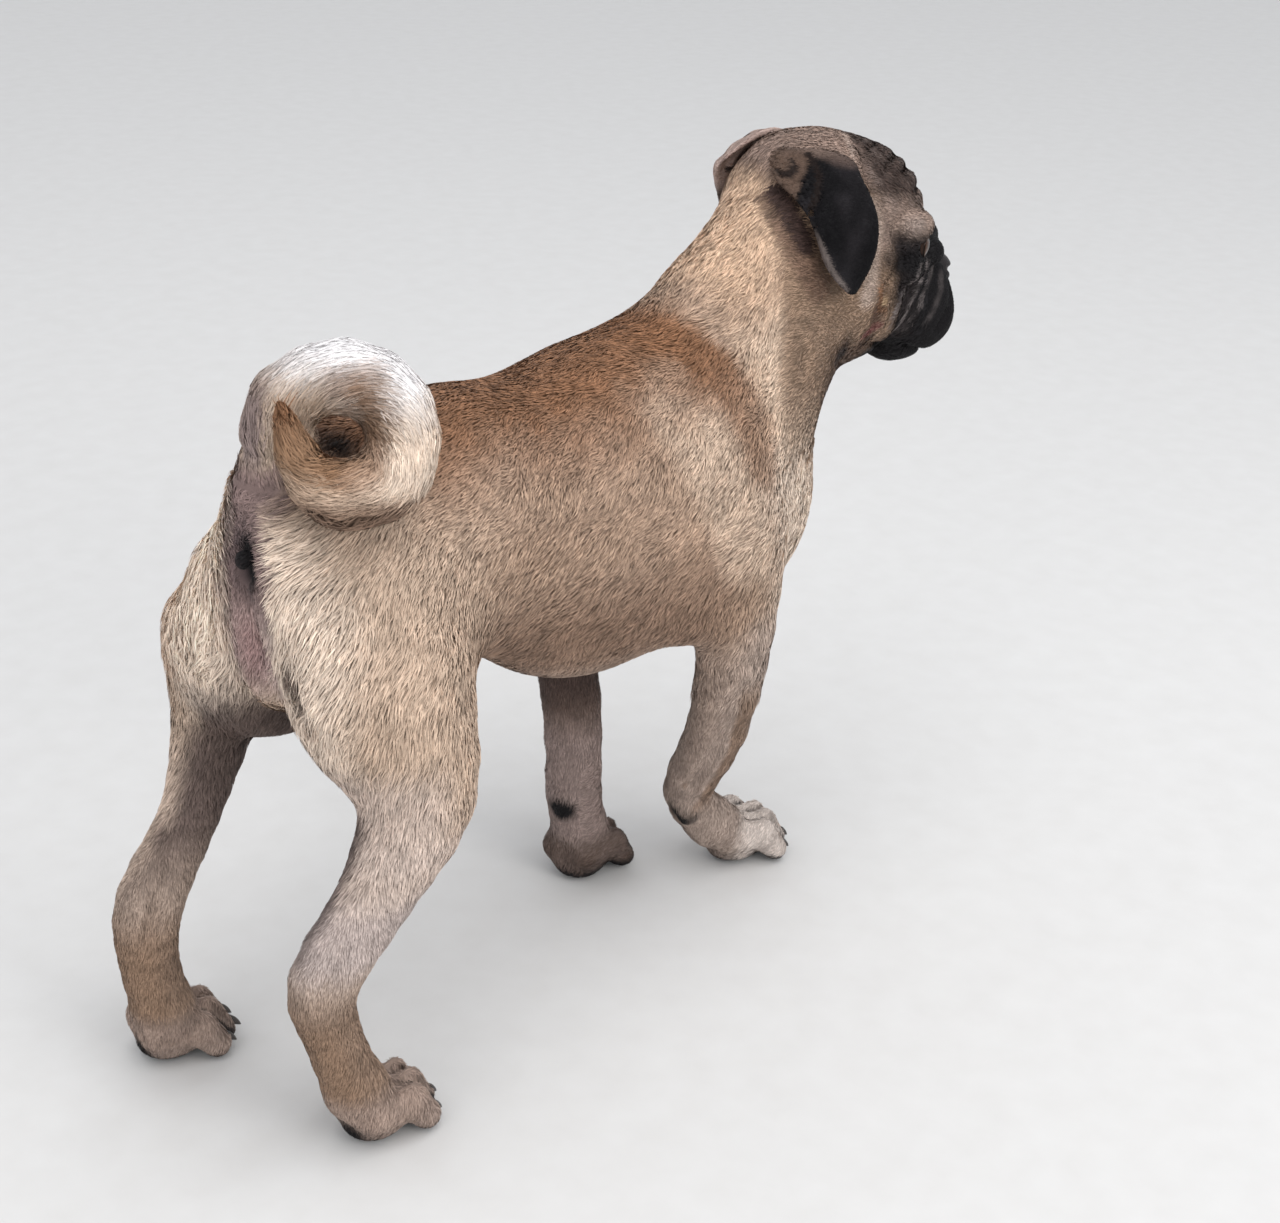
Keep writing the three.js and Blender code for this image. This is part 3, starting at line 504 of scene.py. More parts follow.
# Tail: a ring over the right hip, wound once and a bit
tail_place = Place((-101, -15, 304), -32)
TAIL_RINGS = [  # an angle, the ring's radius there, how far out it lies, and the tail's own radius
    (180, 26, 0, 13.5), (150, 26, 3, 13.5), (120, 24, 6, 13.5), (90, 23, 9, 14), (60, 22, 12, 14),
    (30, 21, 15, 14), (0, 20, 19, 14), (-30, 19, 24, 14), (-60, 18, 29, 14), (-90, 16, 33, 13.5),
    (-120, 17, 34, 12), (-150, 20, 32, 10), (-180, 23, 29, 8), (-205, 29, 27, 4.5), (-214, 34, 27, 2.2),
]
tail_joints = [(-116, 0, 268, 15), (-123, 0, 282, 14)]
for angle, reach, out, radius in TAIL_RINGS:
    at = tail_place.out((reach * math.cos(math.radians(angle)), -out, reach * math.sin(math.radians(angle))))
    tail_joints.append((*at, radius))
tail_joints = np.array(tail_joints)
TAIL_BOX = ((-185, -95, 250), (-30, 45, 375))
tail_field = within(*TAIL_BOX, limb(3, *tail_joints))


def head_share(q, low, high):
    """1 on the head and 0 on the body, for places in the head's own frame."""
    return smooth(low, high, q[:, 0]) * smooth(-98, -82, q[:, 2])


def coat_depth(p):
    """How far the skin lies under the outline of the coat."""
    x, y, z = p.T
    depth = 0.7 + 1.0 * smooth(70, 150, z)
    q = head.own(p)
    in_head = head_share(q, -75, -30)
    depth = depth + (0.75 - depth) * in_head
    ear = smooth(34, 38, np.abs(q[:, 1])) * smooth(-60, -54, q[:, 0]) * smooth(4, -2, q[:, 0])
    depth = depth - 0.3 * ear * in_head
    tail = tail_field(p)
    return depth + 1.2 * smooth(12, 2, tail) * smooth(278, 292, z) * (1 - in_head)


def flesh(p):
    """The coat's outline: the dog, its paws, ears and tail."""
    d = dog(p)
    for paw in paw_fields.values():
        d = soft_min(d, paw(p), 6)
    d = with_ears(p, d)
    k = 1 + 9 * smooth(300, 280, p[:, 2]) * smooth(-105, -115, p[:, 0])
    return soft_min(d, tail_field(p), k)


def skin_field(p):
    d = carve(3, flesh, *grooves, *ear_holes, *ear_folds)(p) + coat_depth(p)
    d = soft_min(d, vent_ring(p), 1.5)
    for corner in eye_corners:
        d = soft_min(d, corner(p), 4)
    for socket in [*eye_sockets, nose_socket]:
        d = np.maximum(d, -socket(p))
    return np.maximum(d, 0.15 - p[:, 2])


# Meshing: a field on a grid, and one corner in each cell that the skin passes through


def graded(low, high, step):
    places = [low]
    while places[-1] < high:
        places.append(places[-1] + step(places[-1]))
    return np.array(places)


def in_parts(field, p, size=60000):
    return np.concatenate([field(p[i : i + size]) for i in range(0, len(p), size)])


def sampled(field, axes, reach=7.0, block=6):
    """The field on a grid, worked out only near the skin."""
    shape = tuple(len(a) for a in axes)
    values = np.empty(shape, np.float32)
    starts = [np.arange(0, n, block) for n in shape]
    ends = [np.minimum(s + block, n) - 1 for s, n in zip(starts, shape)]
    lows = [a[s] for a, s in zip(axes, starts)]
    highs = [a[e] for a, e in zip(axes, ends)]
    centres = np.stack(
        np.meshgrid(*[(l + h) / 2 for l, h in zip(lows, highs)], indexing="ij"), -1
    ).reshape(-1, 3)
    sizes = np.stack(np.meshgrid(*[h - l for l, h in zip(lows, highs)], indexing="ij"), -1).reshape(-1, 3)
    middle = in_parts(field, centres)
    near = np.abs(middle) < np.linalg.norm(sizes, axis=1) * 0.75 + reach
    index = np.stack(np.meshgrid(*[np.arange(len(s)) for s in starts], indexing="ij"), -1).reshape(-1, 3)
    for (i, j, k), d, close in zip(index, middle, near):
        if not close:
            values[i * block : (i + 1) * block, j * block : (j + 1) * block, k * block : (k + 1) * block] = d
    offsets = np.stack(np.meshgrid(*[np.arange(block)] * 3, indexing="ij"), -1).reshape(-1, 3)
    cells = (index[near][:, None, :] * block + offsets).reshape(-1, 3)
    cells = cells[(cells < shape).all(1)]
    places = np.stack([axes[n][cells[:, n]] for n in range(3)], 1)
    values[tuple(cells.T)] = in_parts(field, places)
    return values


def surface(values, axes):
    """A closed mesh of squares round everything inside."""
    inside = values < 0
    corners = sum(
        inside[a : a - 1 or None, b : b - 1 or None, c : c - 1 or None].astype(np.int8) for a, b,
        c in np.ndindex(2, 2, 2)
    )
    mixed = (corners > 0) & (corners < 8)
    cells = np.argwhere(mixed)
    ids = np.full(mixed.shape, -1, np.int64)
    ids[mixed] = np.arange(len(cells))
    total = np.zeros((len(cells), 3))
    hits = np.zeros(len(cells))
    faces = []
    for axis in range(3):
        step = np.eye(3, dtype=int)[axis]
        sides = [np.eye(3, dtype=int)[n % 3] for n in (axis + 1, axis + 2)]
        for a, b in np.ndindex(2, 2):
            start = cells + a * sides[0] + b * sides[1]
            v0, v1 = values[tuple(start.T)], values[tuple((start + step).T)]
            cut = (v0 < 0) != (v1 < 0)
            t = v0[cut] / (v0[cut] - v1[cut])
            total[cut] += start[cut] + t[:, None] * step
            hits[cut] += 1
        head_end = inside[tuple(slice(1, None) if n == axis else slice(None) for n in range(3))]
        tail_end = inside[tuple(slice(None, -1) if n == axis else slice(None) for n in range(3))]
        edges = np.argwhere(head_end != tail_end)
        edges = edges[(edges[:, (axis + 1) % 3] > 0) & (edges[:, (axis + 2) % 3] > 0)]
        edges = edges[(edges < np.array(mixed.shape)).all(1)]
        square = [edges - a * sides[0] - b * sides[1] for a, b in ((0, 0), (1, 0), (1, 1), (0, 1))]
        face = np.stack([ids[tuple(c.T)] for c in square], 1)
        outwards = inside[tuple(edges.T)]
        face[~outwards] = face[~outwards][:, ::-1]
        faces.append(face)
    grid = total / hits[:, None]
    points = np.stack([np.interp(grid[:, n], np.arange(len(axes[n])), axes[n]) for n in range(3)], 1)
    faces = np.concatenate(faces)
    return points, faces[(faces >= 0).all(1)]


class Grid:
    """Reads a sampled field between its grid points."""

    def __init__(self, values, axes):
        self.values = values
        self.axes = axes

    def __call__(self, p):
        cell, part = [], []
        for n in range(3):
            a = self.axes[n]
            place = np.interp(p[:, n], a, np.arange(len(a)))
            i = np.clip(place.astype(int), 0, len(a) - 2)
            cell.append(i)
            part.append(place - i)
        total = np.zeros(len(p))
        for corner in np.ndindex(2, 2, 2):
            w = np.ones(len(p))
            for n in range(3):
                w = w * (part[n] if corner[n] else 1 - part[n])
            total += w * self.values[tuple(cell[n] + corner[n] for n in range(3))]
        return total

    def slope(self, p, step=1.0):
        return np.stack([(self(p + step * a) - self(p - step * a)) / (2 * step) for a in np.eye(3)], 1)


def to_frame(p):
    return ((np.asarray(p) - CENTRE) / 1000).astype(np.float32)


def piece(name, points, faces, material, colours=None):
    """A mesh object from corners in millimetres and faces that all have as many corners."""
    mesh = bpy.data.meshes.new(name)
    count, sides = faces.shape
    mesh.vertices.add(len(points))
    mesh.loops.add(count * sides)
    mesh.polygons.add(count)
    mesh.vertices.foreach_set("co", to_frame(points).ravel())
    mesh.loops.foreach_set("vertex_index", faces.astype(np.int32).ravel())
    mesh.polygons.foreach_set("loop_start", np.arange(0, count * sides, sides, dtype=np.int32))
    mesh.polygons.foreach_set("use_smooth", np.ones(count, bool))
    if colours is not None:
        layer = mesh.attributes.new("coat", "FLOAT_COLOR", "POINT")
        rgba = np.ones((len(points), 4), np.float32)
        rgba[:, :3] = np.clip(colours, 0.001, 1)
        layer.data.foreach_set("color", rgba.ravel())
    mesh.update(calc_edges=True)
    mesh.validate()
    made = bpy.data.objects.new(name, mesh)
    bpy.context.scene.collection.objects.link(made)
    mesh.materials.append(material)
    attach(made, "root")
    return made


# Markings, with painted shade, shadows and highlights among them

CREAM = (0.60, 0.465, 0.36)
PALE = (0.70, 0.58, 0.48)
# painted highlight: near-white for the top of the tail, where the light from above falls
TOP_HIGHLIGHT_WHITE = (0.84, 0.82, 0.83)
FAWN = (0.43, 0.305, 0.225)
TAN = (0.34, 0.225, 0.155)
GINGER = (0.33, 0.185, 0.095)
BROWN = (0.235, 0.115, 0.060)
UMBER = (0.10, 0.068, 0.055)
SOOT = (0.038, 0.028, 0.026)
BLACK = (0.008, 0.007, 0.008)
# painted sheen for the muzzle's ridges
RIDGE_SHEEN_GREY = (0.20, 0.172, 0.167)
PINK = (0.36, 0.215, 0.205)
ROSE = (0.17, 0.065, 0.06)
LEG = (0.35, 0.26, 0.21)
PALE_LEG = (0.49, 0.385, 0.32)


def paint(colours, colour, share):
    """Lays a colour over some of the colours, each by its share."""
    colours += (np.array(colour) - colours) * np.clip(share, 0, 1)[:, None]


def spot(p, at, radii):
    """1 at a place, falling to 0 at a distance of radii."""
    return smooth(1.0, 0.0, np.sqrt((((p - np.array(at)) / np.array(radii)) ** 2).sum(1)))


def trace(p, line, width):
    """1 along a line of places, falling to 0 at a distance of width."""
    line = np.array(line, float)
    away = np.full(len(p), 1e9)
    for a, b in zip(line, line[1:]):
        t = np.clip((p - a) @ (b - a) / ((b - a) @ (b - a)), 0, 1)
        away = np.minimum(away, np.linalg.norm(p - a - t[:, None] * (b - a), axis=1))
    return smooth(width, 0.35 * width, away)


# Lines of the coat and of its painted shade and sheen, on the left side; the right side has the same
SHOULDER_STRIPE = [
    (84, 0, 302), (98, 22, 299), (104, 32, 292), (111, 45, 280), (118, 55, 261), (118, 61, 246)
]
SHOULDER_PALE = [(66, 30, 284), (79, 51, 265), (88, 63, 242), (97, 72, 212)]
# the neck crease, darkened with painted shade
NECK_CREASE = [(160, 40, 318), (156, 50, 296), (160, 52, 274)]
# the muzzle's ridges, where painted sheen lies
RIDGES = [  # x and z only
    [(38, -8), (37, -16), (31, -25), (28, -34), (27, -40)],
    [(47, -8), (47, -17), (41, -28), (37, -41)],
    [(54, -12), (50, -23), (45, -33), (42, -42)],
    [(62, -15), (58, -26), (52, -38)],
]
EAR_EDGE = [(0, 8, 47), (-3, 18, 45), (-5, 28, 40), (-4, 38, 36), (-1, 45, 29), (1, 46, 20)]
EAR_RIM = [(-55, 27), (-50, 20), (-43, 10), (-37, 2), (-30, -8), (-22, -16)]  # x and z only


def trunk_markings_and_painted_light(c, p, normal, wide, fine):
    x, y, z = p.T
    side = np.abs(y)
    even = np.stack([x, side, z], 1)
    up = normal[:, 2]
    paint(c, TAN, 0.25 + 0.3 * wide)
    paint(c, CREAM, 0.55 * smooth(-20, -95, x) * smooth(296, 262, z))
    paint(
        c, PALE, 0.85 * smooth(-112, -134, x) * smooth(7, 16, side) * band(z, 150, 185, 262, 288)
        * smooth(62, 42, side)
    )
    # painted shade: the lower trunk darker towards the belly
    paint(c, (0.235, 0.15, 0.105), 0.85 * smooth(236, 180, z + 6 * wide) * band(x, -75, -45, 76, 108))
    paint(c, CREAM, 0.62 * trace(even, SHOULDER_PALE, 24))
    paint(c, CREAM, 0.9 * smooth(112, 134, x) * smooth(305, 280, z - 0.35 * (x - 120)))
    paint(c, PALE, 0.75 * smooth(98, 130, x) * smooth(262, 225, z))
    paint(c, (0.56, 0.39, 0.27), 0.8 * smooth(118, 134, x) * smooth(0.15, 0.8, up))
    back = smooth(0.42, 0.92, up + 0.1 * wide + 0.08 * fine) * smooth(255, 275, z) * smooth(118, 96, x)
    back = back * smooth(-118, -98, x)
    paint(c, BROWN, 0.92 * back)
    paint(
        c, BROWN, 0.45 * smooth(0.1, 0.6, up + 0.15 * wide) * smooth(248, 268, z) * smooth(80, 40, x)
        * smooth(-100, -60, x)
    )
    paint(c, BROWN, 0.95 * spot(p, (80, 0, 302), (46, 40, 30)))
    stripe = trace(even + 2.5 * fine[:, None], SHOULDER_STRIPE, 19) * (0.5 + 0.5 * smooth(262, 296, z))
    paint(c, BROWN, 0.95 * stripe)
    # painted shade: darker along the neck crease
    paint(c, TAN, 0.6 * trace(even, NECK_CREASE, 7))
    # painted shade on the belly's underside, where it faces down
    paint(
        c, (0.30, 0.20, 0.145), 0.75 * smooth(-0.15, -0.75, up) * smooth(205, 170, z) * (x < 130) * (x > -90)
    )
    paint(c, PALE, 0.9 * smooth(-92, -110, x) * smooth(6, 14, y) * smooth(246, 260, z))
    c *= 1 + 0.12 * (smooth(118, 135, x) * smooth(225, 240, z))[:, None]


def rear_markings_and_painted_light(c, p, normal, fine):
    x, y, z = p.T
    side = np.abs(y)
    # painted shadow: the tail ring's shadow on the rump beneath it
    paint(
        c, (0.12, 0.065, 0.042), 0.75 * smooth(9, 1, tail_field(p)) * smooth(292, 282, z)
        * smooth(-12, -20, y)
    )
    paint(c, (0.54, 0.44, 0.385), 0.75 * band(z, 122, 140, 166, 188) * smooth(-92, -112, x) * (y < 0))
    # painted shade: the back seen through the tail ring's hole, near black
    paint(c, (0.022, 0.013, 0.010), spot(p, (-100, -13, 296), (15, 14, 10)))
    # painted light: the left side of the rump made lighter to offset its shade
    c *= 1 + 0.2 * (smooth(12, 24, y) * smooth(-104, -118, x) * smooth(180, 200, z))[:, None]
    hairs = noise(p * [1, 1, 0.45], 3.2, 12)
    under = smooth(21, 9, side + 3 * fine + 5 * hairs) * smooth(-120, -130, x) * smooth(186, 212, z)
    paint(c, (0.38, 0.285, 0.265), 0.95 * under)
    paint(c, (0.205, 0.14, 0.13), 0.8 * under * smooth(228, 244, z))
    paint(c, (0.55, 0.43, 0.37), 0.7 * under * smooth(240, 222, z) * smooth(-0.1, 0.8, hairs))
    paint(c, PINK, 0.75 * under * spot(p, (-140, 1, 215), (30, 17, 34)))
    seen = p[:, 1:] * [1, 0.5]
    rear = x < -118
    paint(c, (0.085, 0.06, 0.062), 1.1 * rear * spot(seen, (0, 128), (14, 13)))
    paint(
        c, (0.30, 0.14, 0.14), 0.8 * under * trace(p, [(-144, 2, 240), (-142, 4, 222), (-140, 6, 204)], 3.2)
    )
    paint(c, BLACK, 2.2 * rear * spot(seen, (-3, 128), (8, 7.5)))
    paint(c, (0.075, 0.06, 0.062), 0.9 * spot(p, (-146.5, -3, 256), (2.5, 3.4, 4.2)))
    # painted shade in the crease beside the vent
    shaded_wrinkle = trace(p[:, 1:], [(-26, 220), (-30, 212), (-33, 204)], 5)
    paint(c, UMBER, rear * shaded_wrinkle * (0.75 + 0.5 * fine))
    # painted shade: the inner sides of the hind legs and the inner part of the left one, low under the body,
    # painted dark
    inner = (x < -60) * smooth(-0.1, 0.6, -np.sign(y) * normal[:, 1]) * smooth(205, 175, z)
    turned = 0.65 * normal[:, 0] - 0.76 * normal[:, 1]
    inner = np.maximum(
        inner, (x < -60) * (y > 12) * smooth(-0.35, 0.15, turned) * smooth(200, 172, z + 6 * fine)
    )
    inner = np.maximum(
        inner, (x < -60) * (y > 8) * smooth(55, 42, y + 3 * fine) * smooth(198, 172, z + 6 * fine)
    )
    paint(c, (0.09, 0.063, 0.058), 0.9 * inner * smooth(80, 125, z))
    paint(c, SOOT, 0.95 * spot(p, (-112, -2, 170), (32, 30, 24)))


def leg_markings_and_painted_light(c, p, normal, fine):
    x, y, z = p.T
    rear = x < -60
    paint(c, PALE_LEG, 0.65 * smooth(175, 130, z))
    paint(c, LEG, 0.8 * smooth(112, 70, z))
    paint(c, LEG, 0.7 * ~rear * smooth(170, 140, z))
    paint(c, GINGER, 0.55 * rear * smooth(84, 64, z) * smooth(0.2, -0.7, normal[:, 0]) * smooth(8, 22, z))
    paint(c, (0.44, 0.375, 0.36), 0.75 * rear * (y < 0) * band(z, 88, 104, 116, 132))
    paint(c, (0.26, 0.17, 0.115), 0.8 * rear * band(z, 10, 24, 74, 98))
    paint(c, (0.50, 0.41, 0.36), 0.6 * rear * (y < 0) * band(z, 112, 124, 138, 150))
    paint(c, TAN, 0.6 * ~rear * smooth(150, 120, z) * smooth(0.0, 0.8, normal[:, 0]))
    # painted shade: the left foreleg darkened under the belly, up to a straight edge at 190 mm
    paint(c, (0.05, 0.03, 0.027), 0.9 * ~rear * (y > 0) * smooth(66, 104, z) * (z < 190))
    paint(c, (0.30, 0.215, 0.175), 0.5 * ~rear * smooth(120, 80, z))
    turned = 0.65 * normal[:, 0] - 0.76 * normal[:, 1]
    paint(c, (0.38, 0.30, 0.255), 0.8 * smooth(92, 108, x) * (y < 0) * smooth(186, 160, z))
    paint(
        c, (0.25, 0.165, 0.115), 0.85 * (x > 60) * (y < 0) * band(turned, 0.2, 0.5, 0.85, 1.0)
        * band(z, 42, 60, 122, 142)
    )
    paint(c, (0.31, 0.24, 0.225), 0.7 * ~rear * (y > 0) * smooth(104, 80, z))
    # painted shade along the tendon grooves
    for line in TENDONS:
        paint(c, (0.15, 0.1, 0.09), 0.7 * trace(p, line, 3.4))
    for name, (middle, heading, _) in LEGS.items():
        own = Place((*middle, 0), heading).own(p)
        ahead, across, height = own.T
        here = (np.abs(ahead) < 36) & (np.abs(across) < 26)
        between = np.minimum.reduce([np.abs(across - v) for v in TOE_GAPS])
        if name == "fore_right":
            paint(c, (0.68, 0.60, 0.55), here * 0.85 * smooth(34, 24, height) * smooth(-20, -6, ahead))
        elif name == "fore_left":
            paint(c, (0.125, 0.088, 0.072), here * 0.85 * smooth(34, 22, height))
            paint(c, UMBER, here * 0.9 * smooth(0.0, 0.6, fine) * smooth(30, 18, height))
            paint(c, BLACK, here * smooth(11, 5, height + fine) * 0.9)
        else:
            paint(c, (0.35, 0.265, 0.225), here * 0.75 * smooth(38, 26, height))
        # painted shade: black in the gaps between the toes
        paint(
            c, BLACK, here * 0.95 * smooth(3.2, 1.3, between) * smooth(-2, 6, ahead) * smooth(30, 24, height)
        )
        paint(c, BLACK, here * smooth(7.5, 3.2, height + fine) * 0.95)
        paint(c, BLACK, here * smooth(20, 25, ahead) * smooth(9, 5, height) * 0.9)
        if "hind" in name:
            paint(c, BLACK, 1.3 * spot(own, (-22, 0, 5), (16, 20, 16)))
        else:
            paint(c, BLACK, 0.9 * spot(own, (-18, 0, 3), (14, 18, 11)))
    for at in WRIST_SPOTS:
        paint(c, BLACK, 1.8 * spot(p, at, (13, 13, 10)))


def tail_markings_and_painted_light(c, p, normal, fine):
    x, y, z = p.T
    tail = tail_place.own(p)
    on_tail = smooth(6, 1, tail_field(p)) * smooth(285, 296, z)
    paint(c, CREAM, on_tail)
    paint(c, PALE, 0.7 * on_tail * smooth(-10, 20, tail[:, 0]))
    # painted highlight: the top of the tail ring near-white, over its pale hair, where the light from above
    # falls
    paint(c, TOP_HIGHLIGHT_WHITE, 0.95 * on_tail * smooth(312, 334, z + 3 * fine))
    strip = on_tail * smooth(-0.1, -0.6, normal[:, 0]) * smooth(9, 3, np.abs(y)) * smooth(330, 308, z)
    paint(c, (0.24, 0.18, 0.175), 0.9 * strip)
    # painted shade: the inside of the ring darker brown
    inner = smooth(16, 9, np.hypot(tail[:, 0], tail[:, 2]))
    paint(c, BROWN, 0.6 * on_tail * inner)
    away = np.linalg.norm(p - tail_joints[-1, :3], axis=1)
    end = on_tail * smooth(-14, -20, tail[:, 1])
    paint(
        c, (0.235, 0.128, 0.067), 0.92 * end
        * smooth(56, 34, away + 5 * fine + 0.5 * np.hypot(tail[:, 0], tail[:, 2]))
    )
    paint(c, BROWN, 0.8 * end * smooth(26, 8, away))


def head_markings_and_painted_light(c, p, wide, fine):
    q = head.own(p)
    hx, hy, hz = q.T
    side = np.abs(hy)
    even = np.stack([hx, side, hz], 1)
    on_head = head_share(q, -58, -44)

    def face(colour, share):
        paint(c, colour, on_head * share)

    face((0.265, 0.178, 0.122), smooth(-88, -52, hz + 4 * wide))
    face((0.27, 0.185, 0.13), smooth(-20, -40, hz + 4 * fine) * 0.7)
    face((0.10, 0.063, 0.046), 0.9 * smooth(-38, -47, hz + 4 * fine) * smooth(-26, -10, hx))
    mottle = smooth(-0.2, 0.6, noise(even * [1, 1, 0.6], 6, 13))
    face((0.09, 0.053, 0.037), 1.1 * mottle * spot(even, (12, 47, -30), (20, 16, 24)))
    face((0.29, 0.205, 0.17), smooth(20, 36, hz + 3 * wide) * 0.85)
    face((0.33, 0.245, 0.205), smooth(-4, 10, hx + 3 * fine) * smooth(-12, 6, hz) * 0.85)
    face((0.042, 0.027, 0.023), smooth(-5, 9, hx + 3 * fine) * smooth(15, 27, hz + 3 * fine) * 0.93)
    face(
        (0.20, 0.15, 0.13), (hx > 2) * 0.5 * smooth(0.1, 0.8, noise(even * [1, 1, 0.4], 4, 9))
        * smooth(12, 20, hz)
    )
    face((0.46, 0.36, 0.30), 0.85 * trace(even, [(2, 45, 22), (6, 46, 8), (6, 48, -8), (4, 49, -22)], 9))
    face(SOOT, 0.9 * trace(even, [(-4, 50, -50), (-12, 52, -50), (-20, 52, -54)], 5))
    face(
        (0.022, 0.017, 0.017), smooth(20, 32, hx + 0.25 * (hz + 30) + 2 * fine + 3 * wide) * smooth(12, 2, hz)
    )
    face(BLACK, smooth(38, 50, hx + 2 * fine) * smooth(16, 4, hz))
    face(BLACK, 1.3 * spot(even, (33, 35, -7), (19, 16, 15)))
    face(SOOT, 0.9 * spot(even, (18, 41, -6), (11, 8, 9)))
    face((0.33, 0.26, 0.225), 1.5 * spot(even, (28, 41, 11), (9, 11, 8.5)))
    # painted sheen: grey along the muzzle's ridges, broken by noise, over the black
    broken = (side > 12) * np.clip(0.55 + 0.6 * noise(even, 3.5, 14), 0, 1)
    for share, ridge in zip((1.0, 0.9, 0.6, 0.3), RIDGES):
        face(RIDGE_SHEEN_GREY, broken * share * trace(even[:, ::2], ridge, 1.8))
    face((0.16, 0.10, 0.066), 0.8 * spot(even, (18, 45, -18), (10, 9, 15)))
    face((0.40, 0.28, 0.17), 1.4 * spot(even, (17, 45, -25), (4.2, 6, 4.4)))
    face(BROWN, 0.8 * trace(even, [(22, 42, -14), (13, 45, -19), (14, 45, -28), (21, 43, -31)], 3))
    face(SOOT, 0.9 * spot(even, (16, 45, -15), (4, 5, 4)))
    face(ROSE, 0.85 * trace(even, [(18, 42, -37), (13, 44, -38), (9, 45, -42)], 3.2))
    face(BLACK, smooth(9, 3, np.abs(hz + 53 - 0.08 * (hx - 40)) + fine) * smooth(10, 20, hx))
    face(BLACK, smooth(-46, -52, hz) * smooth(18, 28, hx))
    # painted shade: a dark line in the fold just ahead of the ear's front edge
    face(SOOT, 0.9 * trace(even, [(x + 4, y, z) for x, y, z in EAR_EDGE[:4]], 3))
    face((0.50, 0.39, 0.33), 0.85 * trace(even, EAR_EDGE, 2.8))
    # painted shade along the jaw folds
    for width, line in JAW_FOLDS:
        face((0.13, 0.075, 0.05), 0.7 * trace(even, line, 2.0 * width))


def ear_markings_and_painted_light(c, p, fine):
    hx, hy, hz = head.own(p).T
    side = np.abs(hy)
    around = dog(p)
    on_ear = (with_ears(p, around) < around - 1.2) * (hx > -62)
    flap = on_ear * smooth(44, 38, hz) * (hx < 4)
    seen = np.stack([hx, hz], 1)
    paint(c, (0.006, 0.0055, 0.0065), flap)
    # painted sheen: a lighter grey toward the rear of the black flap
    paint(c, (0.026, 0.023, 0.026), flap * smooth(-0.5, 0.9, fine) * smooth(-8, -24, hx - 0.3 * hz) * 0.7)
    paint(c, (0.15, 0.105, 0.09), flap * 0.9 * smooth(36, 42, hz + 3 * fine))
    root = smooth(-38.5, -42, hx - 0.73 * (hz - 32) + fine) * smooth(15, 21, hz)
    paint(c, (0.125, 0.082, 0.062), flap * root * 0.95)
    paint(c, (0.16, 0.132, 0.122), flap * 0.85 * trace(seen, EAR_RIM, 3.2))
    # painted light: the left ear's upper rear made pale for the sky light and sheen on it
    paint(c, (0.50, 0.375, 0.33), on_ear * 0.95 * (hy > 0) * smooth(0, 12, hz) * smooth(-6, -20, hx))
    outer = (side > 30) * (hx < -28)
    behind = ~on_ear * (side > 30)
    # painted shade: near-black along the folds at the ear's root
    for width, line in EAR_FOLDS:
        paint(c, (0.016, 0.011, 0.010), 0.95 * outer * trace(seen, np.array(line)[:, ::2], 1.5 * width))
    # painted shadow: the ear's shadow on the head and neck behind it, darkest near its root
    shadow_under_ear = [(-50, 24), (-47, 12), (-42, 2), (-36, -8), (-30, -16)]
    paint(c, (0.15, 0.09, 0.065), behind * (hx < -22) * 0.8 * trace(seen, shadow_under_ear, 11))
    ear_shadow_core = trace(seen, [(-47, 22), (-43, 12), (-38, 2)], 7.5)
    paint(c, (0.045, 0.027, 0.023), behind * (hx < -26) * 1.1 * ear_shadow_core)
    # painted shade: black in the ear's opening
    paint(c, BLACK, outer * 1.5 * spot(np.stack([hx, side / 2, hz], 1), (-54, 25, 15), (6, 9, 6)))


def markings_and_painted_light(p, normal):
    """The coat's colour at places on the skin, with painted shade, shadows and highlights."""
    wide = noise(p, 34, 1)
    fine = noise(p, 9, 2)
    c = np.tile(np.array(FAWN), (len(p), 1))
    trunk_markings_and_painted_light(c, p, normal, wide, fine)
    leg_markings_and_painted_light(c, p, normal, fine)
    rear_markings_and_painted_light(c, p, normal, fine)
    tail_markings_and_painted_light(c, p, normal, fine)
    head_markings_and_painted_light(c, p, wide, fine)
    ear_markings_and_painted_light(c, p, fine)
    return c * (1 + 0.06 * fine + 0.05 * wide + 0.07 * noise(p, 4, 3))[:, None]


# The lie of the coat


def lie(p):
    """The way the hair points at places on the coat."""
    x, y, z = p.T
    q = head.own(p)
    way = np.stack([-np.ones(len(p)), np.zeros(len(p)), -0.15 - 0.5 * smooth(15, 60, np.abs(y))], 1)
    chest = smooth(120, 165, x) * smooth(290, 250, z)
    way = way + np.array([0.6, 0, -1.2]) * chest[:, None]
    legs = smooth(215, 165, z) * (np.abs(y) > 12)
    way = way + np.array([0.2, 0, -2.2]) * legs[:, None]
    thigh = smooth(-60, -90, x) * smooth(262, 225, z)
    way = way + np.array([0.1, 0, -0.8]) * thigh[:, None]
    neck = smooth(128, 150, x)
    way = unit(way) * (1 - neck)[:, None] + np.array([-0.75, 0, -0.66]) * neck[:, None]
    on_head = head_share(q, -64, -40)[:, None]
    back = head.turn_out(unit(q - np.array([84, 0, -8])))
    way = way * (1 - on_head) + back * on_head
    joints = tail_joints[:, :3]
    spine = np.diff(joints, axis=0)
    middles = (joints[1:] + joints[:-1]) / 2
    on_tail = (tail_field(p) < 5) & (z > 284)
    if on_tail.any():
        away = np.linalg.norm(p[on_tail][:, None] - middles[None], axis=2) - tail_joints[1:, 3]
        share = np.exp(-away / 3)
        way[on_tail] = unit(share @ unit(spine))
    return unit(way)


# Shaders


